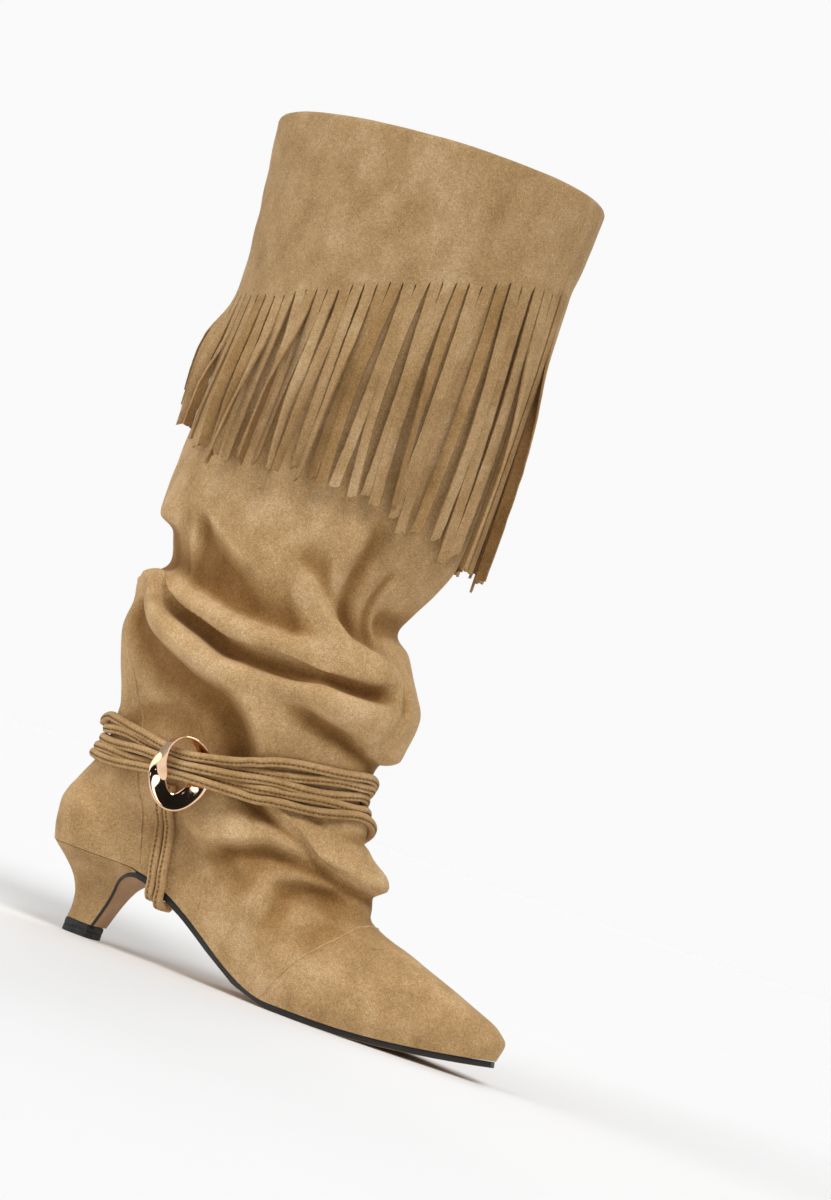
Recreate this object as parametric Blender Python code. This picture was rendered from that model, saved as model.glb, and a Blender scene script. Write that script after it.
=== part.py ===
"""A right-foot knee-high slouch boot: pointed toe, covered kitten heel, turned-down fringed cuff and a
cord harness with a twisted metal ring at the ankle.

Metres. +X points to the toe, +Y to the medial side and +Z up, so the lateral side faces -Y. The origin is
the middle of the heel's flat foot on the floor, and the forefoot's tread lies in the same plane.
"""

import math

import bmesh
import bpy
import numpy as np

# Clearances between pieces that touch
GAP = 0.0003
SEAT_SLACK = 0.0004

# Foot: the last's own sizes
FOOT_LENGTH = 0.275
HEEL_OVERHANG = 0.030
BALL_WIDTH = 0.080
HEEL_HEIGHT = 0.045
TOE_SPRING = 0.010
COUNTER_HEIGHT = 0.055
INSTEP_HEIGHT = 0.095
UPPER_WALL = 0.0018

# Where the feather line changes, as shares of the foot's length, and how its toe spring gathers
SEAT_END = 0.20
TREAD_START = 0.585
TREAD_END = 0.700
TOE_SPRING_POWER = 1.7

# Sole, insole and heel
SOLE_THICKNESS = 0.0032
SOLE_INSET = 0.0012
BREAST_FLAP = 0.0016
BREAST_START = 0.034
BREAST_RADIUS = 0.018
BREAST_SWEEP = math.radians(72)
INSOLE_THICKNESS = 0.0025
TOP_PIECE = 0.0070
HEEL_FOOT_WIDTH = 0.0178
HEEL_FOOT_BACK = 0.0095

# Shaft, measured from the ankle to the turned top edge
ANKLE_HEIGHT = 0.100
BOOT_HEIGHT = 0.465
SHAFT_CENTRE = 0.051
SHAFT_DEPTH = 0.190
SHAFT_WIDTH = 0.120

# Slouch folds: one size each for how deep, how tall and how wide a full fold is
FOLD_DEPTH = 0.008
FOLD_RISE = 0.012

# Cuff and fringe
CUFF_WALL = 0.0014
CUFF_STANDOFF = 0.0012
CUFF_FACING = 0.020
STRIP_COLUMNS = 35
STRIPS_PER_COLUMN = 2
SLIT_WIDTH = 0.0011
FRINGE_LENGTH = 0.110
FRINGE_FLARE = 0.0035
CUFF_BAND_HEIGHT = 0.087

# Harness: the cords round the ankle. They draw together at the ring and climb over its front side; the
# angles are radians round the boot, ahead of the ring.
CORD_DIAMETER = 0.0052
CORD_PITCH = 1.1 * CORD_DIAMETER
CORD_COUNT = 5
CORD_SIDES = 6
CORD_CLEARANCE = 0.0012
BUNCH_AHEAD = 0.03
BUNCH_SPREAD = 0.42
CLIMB = 0.0080
CLIMB_AHEAD = 0.20
CLIMB_SPREAD = 0.23

# The ring: half its height, its width as a share of its height, and where and how it hangs
RING_RADIUS = 0.0205
RING_OVAL = 0.80
RING_STEPS = 32
RING_PLATE = 0.0015
RING_ALONG = 0.425
RING_STANDOFF = 0.0116
RING_TURN = math.radians(31)
RING_DROP = 0.0045

# The stirrup: two cords from behind the ring, and a strap on the medial side. Their ends and the places
# where they turn under the sole are shares of the ankle's height and of the foot's length.
STIRRUP_TOP = 0.90
STIRRUP_SWEEP = 1.3
STRAP_WIDTH = 0.0125
STRAP_THICKNESS = 0.0016
STRAP_CLEARANCE = 0.0010
STRAP_UNDER = 0.313
STRAP_HOOK = 0.364
STRAP_SLANT = 0.35

# The feather line seen from below: shares of the length, of the half ball width, and the drift of the middle
OUTLINE = (
    # along, half width, drift to the medial side
    (0.00, 0.700, 0.00),
    (0.11, 0.712, 0.00),
    (0.22, 0.690, -0.02),
    (0.36, 0.600, -0.06),
    (0.48, 0.720, -0.05),
    (0.60, 0.955, -0.01),
    (0.665, 1.000, 0.02),
    (0.76, 0.870, 0.07),
    (0.86, 0.600, 0.10),
    (0.94, 0.355, 0.11),
    (1.00, 0.220, 0.11),
)
HEEL_ROUND = 0.105
TOE_ROUND = 0.030

# The foot's loops from the feather line to the ankle. Back and front are shares of the foot's length,
# back rise is a share of the counter height above the seat, front rise one of the instep height above
# the sole, half width one of half the ball width. Foot shape runs from an ellipse, 0, to the outline, 1.
# Follow is how far the loop dips with the arch.
FOOT_LOOPS = (
    # name, back, back rise, front, front rise, half width, foot shape, follow
    ("feather", 0.000, 0.00, 1.000, 0.000, 1.000, 1.00, 1.00),
    ("counter", -0.010, 0.22, 1.006, 0.090, 1.065, 1.00, 1.00),
    ("toe_top", -0.013, 0.39, 0.984, 0.172, 1.065, 1.00, 0.92),
    ("vamp_low", -0.009, 0.52, 0.898, 0.316, 0.985, 0.80, 0.75),
    ("vamp_mid", 0.000, 0.63, 0.793, 0.460, 0.935, 0.50, 0.55),
    ("vamp_top", 0.009, 0.73, 0.680, 0.610, 0.950, 0.20, 0.30),
    ("instep_fold", 0.018, 0.81, 0.672, 0.800, 1.000, 0.00, 0.10),
    ("instep_notch", 0.0255, 0.88, 0.632, 0.940, 1.010, 0.00, 0.00),
)

# The shaft's loops. Rise is a share of the height between ankle and top, front lift the same share by
# which the front stands higher than the back. Back and front are shares of the shaft depth from its
# centre, and half width a share of the shaft width.
SHAFT_LOOPS = (
    # name, rise, front lift, back, front, half width
    ("cord_low", -0.004, 0.026, -0.382, 0.437, 0.345),
    ("cord", 0.018, 0.036, -0.370, 0.405, 0.340),
    ("cord_high", 0.066, 0.028, -0.366, 0.425, 0.370),
    ("pouch", 0.186, 0.006, -0.447, 0.487, 0.452),
    ("notch", 0.302, 0.004, -0.400, 0.356, 0.425),
    ("calf_low", 0.418, 0.006, -0.458, 0.447, 0.454),
    ("calf", 0.548, 0.000, -0.447, 0.468, 0.462),
    ("cuff_low", 0.740, 0.000, -0.442, 0.474, 0.471),
    ("rim", 1.000, 0.000, -0.500, 0.505, 0.500),
)

# The cuff round the boot: angle in degrees from the back by the lateral side, the band's height as a
# share of the cuff band, and the fringe's length as a share of the fringe length
CUFF_ROUND = (
    # angle, band, fringe
    (0, 1.13, 0.56),
    (45, 1.22, 0.80),
    (90, 1.03, 0.97),
    (125, 0.82, 1.16),
    (155, 0.68, 1.40),
    (180, 0.61, 1.47),
    (215, 0.72, 1.36),
    (250, 0.88, 1.18),
    (290, 1.05, 0.98),
    (325, 1.15, 0.74),
    (360, 1.13, 0.56),
)

# The cords' middle height round the ankle, as a share of the ankle's height
CORD_ROUTE = (
    # angle, height
    (0, 1.06),
    (80, 1.05),
    (125, 1.13),
    (180, 1.20),
    (225, 1.06),
    (262, 0.93),
    (310, 0.99),
    (360, 1.06),
)

# Where each cord lies in the row of cords, low to high, and in the bunch that goes through the ring:
# counted in cord pitches up from the middle and out from the wall
CORD_SLOTS = (
    # up in the row, up in the bunch, out in the bunch
    (-2, -1.0, 0.9),
    (-1, -0.5, 0.0),
    (0, 0.0, 0.9),
    (1, 0.5, 0.0),
    (2, 1.0, 0.9),
)

# The ring's band, by angle in degrees from its top towards the toe: the middle of the band and half its
# width as shares of the ring's radius, and the turn of its face, which is edge on at 90 and at 270 and
# flat at 180, so that the band makes half a twist on its way round
RING_BAND = (
    # angle, middle, half width, turn
    (0, 0.94, 0.19, 95),
    (45, 0.92, 0.19, 130),
    (85, 0.86, 0.19, 165),
    (130, 0.79, 0.22, 172),
    (180, 0.77, 0.24, 168),
    (230, 0.73, 0.24, 168),
    (270, 0.69, 0.235, 176),
    (300, 0.77, 0.22, 205),
    (330, 0.88, 0.19, 245),
    (360, 0.94, 0.19, 275),
)

# The stirrup cords: how far behind the ring's middle each starts, and the share of the foot's length at
# which it turns under the sole
STIRRUP_CORDS = (
    # behind, under
    (0.0078, 0.269),
    (0.0018, 0.291),
)

# A stirrup cord's run under the waist, from the sole's edge, in cord diameters
UNDER_WAIST = (
    # forward, inward
    (0.08, 0.65),
    (0.19, 1.54),
    (0.29, 2.69),
)

# The strap's run under the waist, from the stirrup cords' ends to the medial edge
STRAP_RUN = (-0.0040, 0.0060, 0.0160)

# How the strap hooks over the cords: which cord it passes, and how far out and up from that cord's
# middle it lies, in reaches of half a cord and a clearance
STRAP_OVER_CORDS = (
    # cord, out, up
    (0, 0.80, -0.75),
    (0, 1.05, 0.00),
    (2, 1.05, 0.00),
    (4, 1.05, 0.00),
    (4, 0.78, 0.78),
    (4, -0.30, 1.10),
)

# How many rings of faces lie between each loop and the next, and how many columns go round the boot
RINGS_BETWEEN = (1, 1, 2, 1, 1, 1, 1, 1, 1, 2, 4, 4, 3, 2, 2, 3)
COLUMNS = 40
TOP_LEVEL = len(RINGS_BETWEEN)

# Slouch folds. Angle is where the fold is centred, in degrees from the back by the lateral side; height
# is a share of the boot's height; slope, in the same share per radian, tips it; spread is in radians;
# rise and depth are shares of one full fold. A trough has a negative depth.
FOLDS = (
    # name, angle, height, slope, spread, rise, depth
    ("overhang_back", 52, 0.412, -0.070, 0.60, 0.80, -0.80),
    ("overhang_front", 118, 0.381, -0.005, 0.65, 0.75, -1.00),
    ("pouch_ridge", 62, 0.352, -0.100, 0.50, 0.95, 0.60),
    ("pouch_hollow", 46, 0.300, -0.060, 0.50, 1.30, -0.60),
    ("pouch_under_front", 158, 0.322, 0.000, 0.50, 0.70, -0.70),
    ("instep_crease", 132, 0.200, -0.110, 0.30, 0.70, -0.45),
    ("vamp_crease", 140, 0.176, 0.000, 0.55, 0.65, -0.60),
    ("medial_knot", 300, 0.350, 0.030, 0.40, 0.85, -0.90),
    ("medial_crease", 238, 0.318, -0.020, 0.60, 0.70, -0.60),
    ("medial_dip", 275, 0.262, 0.060, 0.45, 0.80, -0.50),
    ("medial_bulge", 285, 0.400, 0.020, 0.60, 1.60, 0.60),
)


def monotone(stations, values, at):
    """A smooth curve through the values that never overshoots them (Fritsch and Carlson's cubic)."""
    xs, ys, at = (np.asarray(v, float) for v in (stations, values, at))
    step = np.diff(xs)
    rise = np.diff(ys) / step
    slope = np.zeros_like(ys)
    slope[0], slope[-1] = rise[0], rise[-1]
    same_way = rise[:-1] * rise[1:] > 0
    before, after = 2 * step[1:] + step[:-1], step[1:] + 2 * step[:-1]
    safe = np.where(same_way, rise[:-1] * rise[1:], 1.0)
    mean = (before + after) * safe / (before * rise[1:] + after * rise[:-1] + (~same_way) * 1e9)
    slope[1:-1] = np.where(same_way, mean, 0.0)
    i = np.clip(np.searchsorted(xs, at, side="right") - 1, 0, len(step) - 1)
    u = (at - xs[i]) / step[i]
    u = np.clip(u, 0.0, 1.0)
    return (
        (1 + 2 * u) * (1 - u) ** 2 * ys[i]
        + u * (1 - u) ** 2 * step[i] * slope[i]
        + u * u * (3 - 2 * u) * ys[i + 1]
        + u * u * (u - 1) * step[i] * slope[i + 1]
    )


def smoothstep(low, high, x):
    u = np.clip((np.asarray(x, float) - low) / (high - low), 0.0, 1.0)
    return u * u * (3 - 2 * u)


def feather_height(x):
    """Height of the feather line, where upper and sole meet: seat, arch, flat tread, then toe spring."""
    along = (np.asarray(x, float) + HEEL_OVERHANG) / FOOT_LENGTH
    tread = SOLE_THICKNESS + GAP
    arch = 1 - smoothstep(SEAT_END, TREAD_START, along)
    toe = np.clip((along - TREAD_END) / (1 - TREAD_END), 0.0, 1.2) ** TOE_SPRING_POWER
    return tread + (HEEL_HEIGHT - tread) * arch + TOE_SPRING * toe


def feather_line(x):
    """The same height along straight runs between the upper's own columns, so that faceted faces that lie
    on each other keep one gap."""
    half = COLUMNS // 2
    knots = (1 - np.cos(np.arange(half + 1) * math.pi / half)) / 2 * FOOT_LENGTH - HEEL_OVERHANG
    return np.interp(x, knots, feather_height(knots))


def end_round(share, radius):
    """1 away from an end, and a quarter circle down to 0 at it."""
    return np.sqrt(np.clip(1 - (1 - np.clip(share / radius, 0.0, 1.0)) ** 2, 0.0, 1.0))


def outline_shape(along):
    """(half width, drift) of the feather line, in shares of half the ball width."""
    table = np.array(OUTLINE)
    width = monotone(table[:, 0], table[:, 1], along)
    width = width * end_round(along, HEEL_ROUND) * end_round(1 - along, TOE_ROUND)
    return width, monotone(table[:, 0], table[:, 2], along) * smoothstep(0.0, 0.3, along)


def upper_rows():
    """Every loop in metres: back x, back z, front x, front z, half width, foot shape, follow."""
    rows = []
    for _, back, back_rise, front, front_rise, half, foot, follow in FOOT_LOOPS:
        front_x = front * FOOT_LENGTH - HEEL_OVERHANG
        rows.append((
            back * FOOT_LENGTH - HEEL_OVERHANG,
            HEEL_HEIGHT + back_rise * COUNTER_HEIGHT,
            front_x,
            float(feather_height(front_x)) + front_rise * INSTEP_HEIGHT,
            half * BALL_WIDTH / 2,
            foot,
            follow,
        ))
    top = BOOT_HEIGHT - CUFF_WALL - CUFF_STANDOFF
    span = top - ANKLE_HEIGHT
    for _, rise, lift, back, front, half in SHAFT_LOOPS:
        rows.append((
            SHAFT_CENTRE + back * SHAFT_DEPTH,
            ANKLE_HEIGHT + rise * span,
            SHAFT_CENTRE + front * SHAFT_DEPTH,
            ANKLE_HEIGHT + (rise + lift) * span,
            half * SHAFT_WIDTH,
            0.0,
            0.0,
        ))
    return np.array(rows)


def fold_offset(angle, height):
    """How far the slouch folds push the wall out, at an angle round the boot and a height."""
    total = np.zeros(np.broadcast(angle, height).shape)
    for _, at, share, slope, spread, rise, depth in FOLDS:
        turn = (angle - math.radians(at) + math.pi) % (2 * math.pi) - math.pi
        centre = (share + slope * turn) * BOOT_HEIGHT
        across = (height - centre) / (rise * FOLD_RISE)
        total = total + depth * FOLD_DEPTH * np.exp(-((turn / spread) ** 2) - across**2)
    return total


def upper_surface(levels, angles):
    """The upper's outer face. Level counts loops from the feather line; the angle runs from the back,
    0, by the lateral side to the front, pi, and home by the medial side."""
    rows = upper_rows()
    stations = np.arange(len(rows))
    level, angle = np.meshgrid(np.asarray(levels, float), np.asarray(angles, float), indexing="ij")
    back_x, back_z, front_x, front_z, half, foot, follow = (
        monotone(stations, rows[:, k], level) for k in range(rows.shape[1])
    )
    along = (1 - np.cos(angle)) / 2
    x = back_x + (front_x - back_x) * along
    width, drift = outline_shape(along)
    side = -np.sign(np.sin(angle))
    y = half * (foot * (side * width + drift) - (1 - foot) * np.sin(angle))
    low_back, low_front = feather_height(back_x), feather_height(front_x)
    dip = feather_height(x) - (low_back + (low_front - low_back) * along)
    z = back_z + (front_z - back_z) * along + follow * dip
    out = fold_offset(angle, z) * smoothstep(0.5, 4.0, level)
    return np.stack([x - out * np.cos(angle), y - out * np.sin(angle), z], axis=-1)


def grid_normals(points):
    """Outward unit normals of a grid that closes on itself in its second direction."""
    around = np.roll(points, -1, axis=1) - np.roll(points, 1, axis=1)
    up = np.gradient(points, axis=0)
    normal = np.cross(around, up)
    return normal / np.linalg.norm(normal, axis=-1, keepdims=True)


def level_list():
    """The levels at which the upper has a ring of vertices."""
    levels = [0.0]
    for row, count in enumerate(RINGS_BETWEEN):
        levels += [row + (k + 1) / count for k in range(count)]
    return np.array(levels)


def column_angles(count):
    return np.arange(count) * 2 * math.pi / count


def link(name, bm, colour, roughness, metallic=0.0, smooth=True):
    """Turns a bmesh into a named object with its own material."""
    bmesh.ops.recalc_face_normals(bm, faces=bm.faces)
    mesh = bpy.data.meshes.new(name)
    bm.to_mesh(mesh)
    bm.free()
    if smooth:
        mesh.shade_smooth()
        mesh.set_sharp_from_angle(angle=math.radians(40))
    piece = bpy.data.objects.new(name, mesh)
    bpy.context.scene.collection.objects.link(piece)
    material = bpy.data.materials.new(name)
    material.use_nodes = True
    shader = material.node_tree.nodes["Principled BSDF"]
    shader.inputs["Base Color"].default_value = (*colour, 1.0)
    shader.inputs["Roughness"].default_value = roughness
    shader.inputs["Metallic"].default_value = metallic
    mesh.materials.append(material)
    return piece


def loft(bm, rings, cap_ends=True, close_ends=False):
    """Skins a list of equal rings of points; the ends are capped, or joined to each other."""
    made = [[bm.verts.new(p) for p in ring] for ring in rings]
    pairs = list(zip(made, made[1:]))
    if close_ends:
        pairs.append((made[-1], made[0]))
    for low, high in pairs:
        for i in range(len(low)):
            j = (i + 1) % len(low)
            bm.faces.new((low[i], low[j], high[j], high[i]))
    if cap_ends and not close_ends:
        bm.faces.new(made[0][::-1])
        bm.faces.new(made[-1])


def hollow_wall(bm, outer, inner):
    """A wall between two grids that close round the boot, open at its first and last ring."""
    rings = list(outer) + list(inner[::-1])
    loft(bm, rings, close_ends=True)


SUEDE = (0.36, 0.25, 0.14)
LINING = (0.55, 0.45, 0.34)
BLACK_RUBBER = (0.012, 0.012, 0.012)
SOLE_TAN = (0.30, 0.17, 0.085)


def make_upper():
    outer = upper_surface(level_list(), column_angles(COLUMNS))
    normal = grid_normals(outer)
    for edge in (0, -1):
        normal[edge, :, 2] = 0
        normal[edge] /= np.linalg.norm(normal[edge], axis=-1, keepdims=True)
    inner = outer - UPPER_WALL * normal
    inner[0, :, 2] = feather_line(inner[0, :, 0])
    bm = bmesh.new()
    hollow_wall(bm, outer, inner)
    return link("upper", bm, SUEDE, 0.95)


def feather_loop(inset, angles):
    """The feather line's plan, drawn in by an inset, as (x, y) rows."""
    edge = upper_surface([0.0], angles)[0][:, :2]
    along = np.roll(edge, -1, axis=0) - np.roll(edge, 1, axis=0)
    outward = np.stack([along[:, 1], -along[:, 0]], axis=-1)
    outward /= np.linalg.norm(outward, axis=-1, keepdims=True)
    return edge - inset * outward


def make_insole():
    """The insole board closes the upper's foot inside, on the sole and the heel's seat."""
    plan = feather_loop(UPPER_WALL + GAP + SEAT_SLACK, column_angles(COLUMNS))
    bm = bmesh.new()
    half = COLUMNS // 2
    rings = []
    for k in range(1, half):
        lateral, medial = plan[k], plan[COLUMNS - k]
        middle = (lateral + medial) / 2
        low = [(*p, float(feather_line(p[0]))) for p in (lateral, middle, medial)]
        high = [(x, y, z + INSOLE_THICKNESS) for x, y, z in low[::-1]]
        rings.append(low + high)
    loft(bm, rings)
    return link("insole", bm, LINING, 0.8)


def breast_path():
    """The sole's run from the arch down the heel's breast: points (x, z) and unit normals to its hidden
    face, from the top of the turn to the top piece."""
    top_z = float(feather_line(BREAST_START)) - GAP
    turn = [k * BREAST_SWEEP / 6 for k in range(7)]
    points = [(BREAST_START - BREAST_RADIUS * math.sin(a), top_z - BREAST_RADIUS * (1 - math.cos(a)))
              for a in turn]
    normals = [(-math.sin(a), math.cos(a)) for a in turn]
    end_x, end_z = points[-1]
    drop = end_z - TOP_PIECE - GAP
    for share in (0.5, 1.0):
        fall = drop * share
        points.append((end_x - fall / math.tan(BREAST_SWEEP), end_z - fall))
        normals.append(normals[len(turn) - 1])
    return points, normals


HEEL_RINGS = (
    # height share, back as a share of the overhang, how far the width has opened from foot to seat
    (0.00, 0.317, 0.000),
    (0.16, 0.300, 0.000),
    (0.34, 0.325, 0.020),
    (0.52, 0.415, 0.110),
    (0.68, 0.560, 0.310),
    (0.84, 0.770, 0.640),
    (0.95, 0.925, 0.930),
    (1.00, 1.000, 1.000),
)


def heel_opening(share):
    """How far the heel's rings have opened from the foot's D, 0, to the seat's outline, 1."""
    table = np.array(HEEL_RINGS)
    return float(monotone(table[:, 0], table[:, 2], share))


def seat_half_width(x):
    """Half the sole's width at a place along it."""
    width, _ = outline_shape(np.atleast_1d((x + HEEL_OVERHANG) / FOOT_LENGTH))
    return np.maximum(width * BALL_WIDTH / 2 - SOLE_INSET, 0.0)


def heel_share(z):
    """Where a height lies between the top piece, 0, and the seat, 1."""
    low, high = TOP_PIECE + GAP, HEEL_HEIGHT - GAP
    return min(max((z - low) / (high - low), 0.0), 1.0)


def make_outsole():
    """One thin sole from the toe, through the arch and down the heel's breast."""
    half_turn = COLUMNS // 2
    knots = (1 - np.cos(np.arange(half_turn) * math.pi / half_turn)) / 2 * FOOT_LENGTH - HEEL_OVERHANG
    toe_x = FOOT_LENGTH - HEEL_OVERHANG - SOLE_INSET
    rings = []
    for x in [toe_x, *[k for k in knots[::-1] if k > BREAST_START + 0.002], BREAST_START]:
        along = (x + HEEL_OVERHANG) / FOOT_LENGTH
        width, drift = outline_shape(np.array([along]))
        half = max(float(width[0]) * BALL_WIDTH / 2 - SOLE_INSET, 0.0015)
        middle = float(drift[0]) * BALL_WIDTH / 2
        slope = float(feather_height(x + 0.001) - feather_height(x - 0.001)) / 0.002
        run = math.hypot(1, slope)
        nx, nz = -slope / run, 1 / run
        top = float(feather_line(x)) - GAP
        low_x, low_z = x - nx * SOLE_THICKNESS, top - nz * SOLE_THICKNESS
        rings.append([(x, middle - half, top), (x, middle + half, top),
                      (low_x, middle + half, low_z), (low_x, middle - half, low_z)])
    points, normals = breast_path()
    for k, ((x, z), (nx, nz)) in enumerate(zip(points, normals)):
        if k == 0:
            continue
        fade = k / (len(points) - 1)
        thick = SOLE_THICKNESS + (BREAST_FLAP - SOLE_THICKNESS) * min(1.0, 2 * fade)
        opening = heel_opening(heel_share(z))
        half = HEEL_FOOT_WIDTH / 2 * (1 - opening) + float(seat_half_width(BREAST_START)[0]) * opening
        low_x, low_z = x - nx * thick, max(z - nz * thick, TOP_PIECE + GAP)
        rings.append([(x, -half, z), (x, half, z), (low_x, half, low_z), (low_x, -half, low_z)])
    bm = bmesh.new()
    loft(bm, rings)
    return link("outsole", bm, SOLE_TAN, 0.6, smooth=False)


def heel_ring(share, front, count=14):
    """A D seen from above, round at the back and flat at the front, which opens into the seat."""
    table = np.array(HEEL_RINGS)
    turn = math.pi * (0.5 + np.arange(count) / (count - 1))
    back = -float(monotone(table[:, 0], table[:, 1], share)) * (HEEL_OVERHANG - SOLE_INSET)
    seat_back = -(HEEL_OVERHANG - SOLE_INSET)
    seat_x = front + (front - seat_back) * np.cos(turn)
    opening = heel_opening(share)
    foot_half = HEEL_FOOT_WIDTH / 2 * np.abs(np.sin(turn)) ** 0.8
    half = foot_half * (1 - opening) + seat_half_width(seat_x) * opening
    return list(zip(front + (front - back) * np.cos(turn), half * np.sign(np.sin(turn))))


def breast_x(z):
    points, _ = breast_path()
    heights = [p[1] for p in points][::-1]
    return float(np.interp(z, heights, [p[0] for p in points][::-1]))


def make_heel():
    """The covered heel: a cup under the seat, drawn in to a small D-shaped foot."""
    points, _ = breast_path()
    foot = TOP_PIECE + GAP
    straight = points[6][1] - foot
    heights = [foot, *[foot + straight * k / 4 for k in (1, 2, 3)], *[z for _, z in points[6:0:-1]]]
    rings = [[(x, y, z) for x, y in heel_ring(heel_share(z), breast_x(z) - GAP)] for z in heights]
    seat = heel_ring(1.0, points[1][0] - GAP)
    rings.append([(x, y, float(feather_line(x)) - GAP) for x, y in seat])
    bm = bmesh.new()
    loft(bm, rings)
    return link("heel", bm, SUEDE, 0.95)


def make_top_piece():
    """The black lift the heel stands on, its front corners cut off."""
    front = breast_x(TOP_PIECE + GAP) + BREAST_FLAP
    half = HEEL_FOOT_WIDTH / 2
    corner = half * 0.35
    plan = [(front, -half + corner), (front, half - corner), (front - corner, half)]
    steps = 8
    back = -HEEL_FOOT_BACK
    for k in range(steps + 1):
        a = math.pi * (0.5 - k / steps)
        plan.append((back + half - half * math.cos(a), half * math.sin(a)))
    plan.append((front - corner, -half))
    bm = bmesh.new()
    loft(bm, [[(x, y, 0.0) for x, y in plan], [(x, y, TOP_PIECE) for x, y in plan]])
    return link("top_piece", bm, BLACK_RUBBER, 0.55, smooth=False)


def wall_points(angles, heights):
    """The upper's outer face at these angles and heights, and the level way out from it."""
    angles, heights = np.broadcast_arrays(np.asarray(angles, float), np.asarray(heights, float))
    levels = np.linspace(0, TOP_LEVEL, 241)
    step = 0.01

    def at(turned):
        grid = upper_surface(levels, turned)
        plan = [[np.interp(h, grid[:, i, 2], grid[:, i, k]) for k in (0, 1)] for i, h in enumerate(heights)]
        return np.array(plan)

    here, before, after = at(angles), at(angles - step), at(angles + step)
    along = after - before
    outward = np.stack([along[:, 1], -along[:, 0]], axis=-1)
    outward /= np.linalg.norm(outward, axis=-1, keepdims=True)
    points = np.concatenate([here, heights[:, None]], axis=1)
    return points, np.concatenate([outward, np.zeros((len(heights), 1))], axis=1)


def stand_clear(angles, heights, distance):
    """Points beside the upper that keep a distance from it, above and below them as well, and the level
    way out."""
    wall, outward = wall_points(angles, heights)
    out = np.full(len(wall), float(distance))
    for share in np.linspace(-0.95, 0.95, 9):
        near, _ = wall_points(angles, wall[:, 2] + share * distance)
        out = np.maximum(out, ((near - wall) * outward).sum(axis=1) + distance * math.sqrt(1 - share**2))
    return wall + out[:, None] * outward, outward


def round_table(table, column, angles):
    """A smooth closed curve round the boot through one column of a table that starts with angles."""
    rows = np.array(table, float)
    turned = np.degrees(angles) % 360
    stations = np.concatenate([rows[:-1, 0] - 360, rows[:, 0], rows[1:, 0] + 360])
    values = np.concatenate([rows[:-1, column], rows[:, column], rows[1:, column]])
    return monotone(stations, values, turned)


def rim_walk():
    """Angles round the rim, and the length walked along it at each."""
    fine = np.linspace(0, 2 * math.pi, 721)
    rim = upper_surface([TOP_LEVEL], fine)[0]
    return fine, np.concatenate([[0], np.cumsum(np.linalg.norm(np.diff(rim, axis=0), axis=1))])


def even_angles(shares):
    """The angles at these shares of the rim's length."""
    fine, walked = rim_walk()
    return np.interp(np.asarray(shares, float) * walked[-1], walked, fine)


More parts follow.
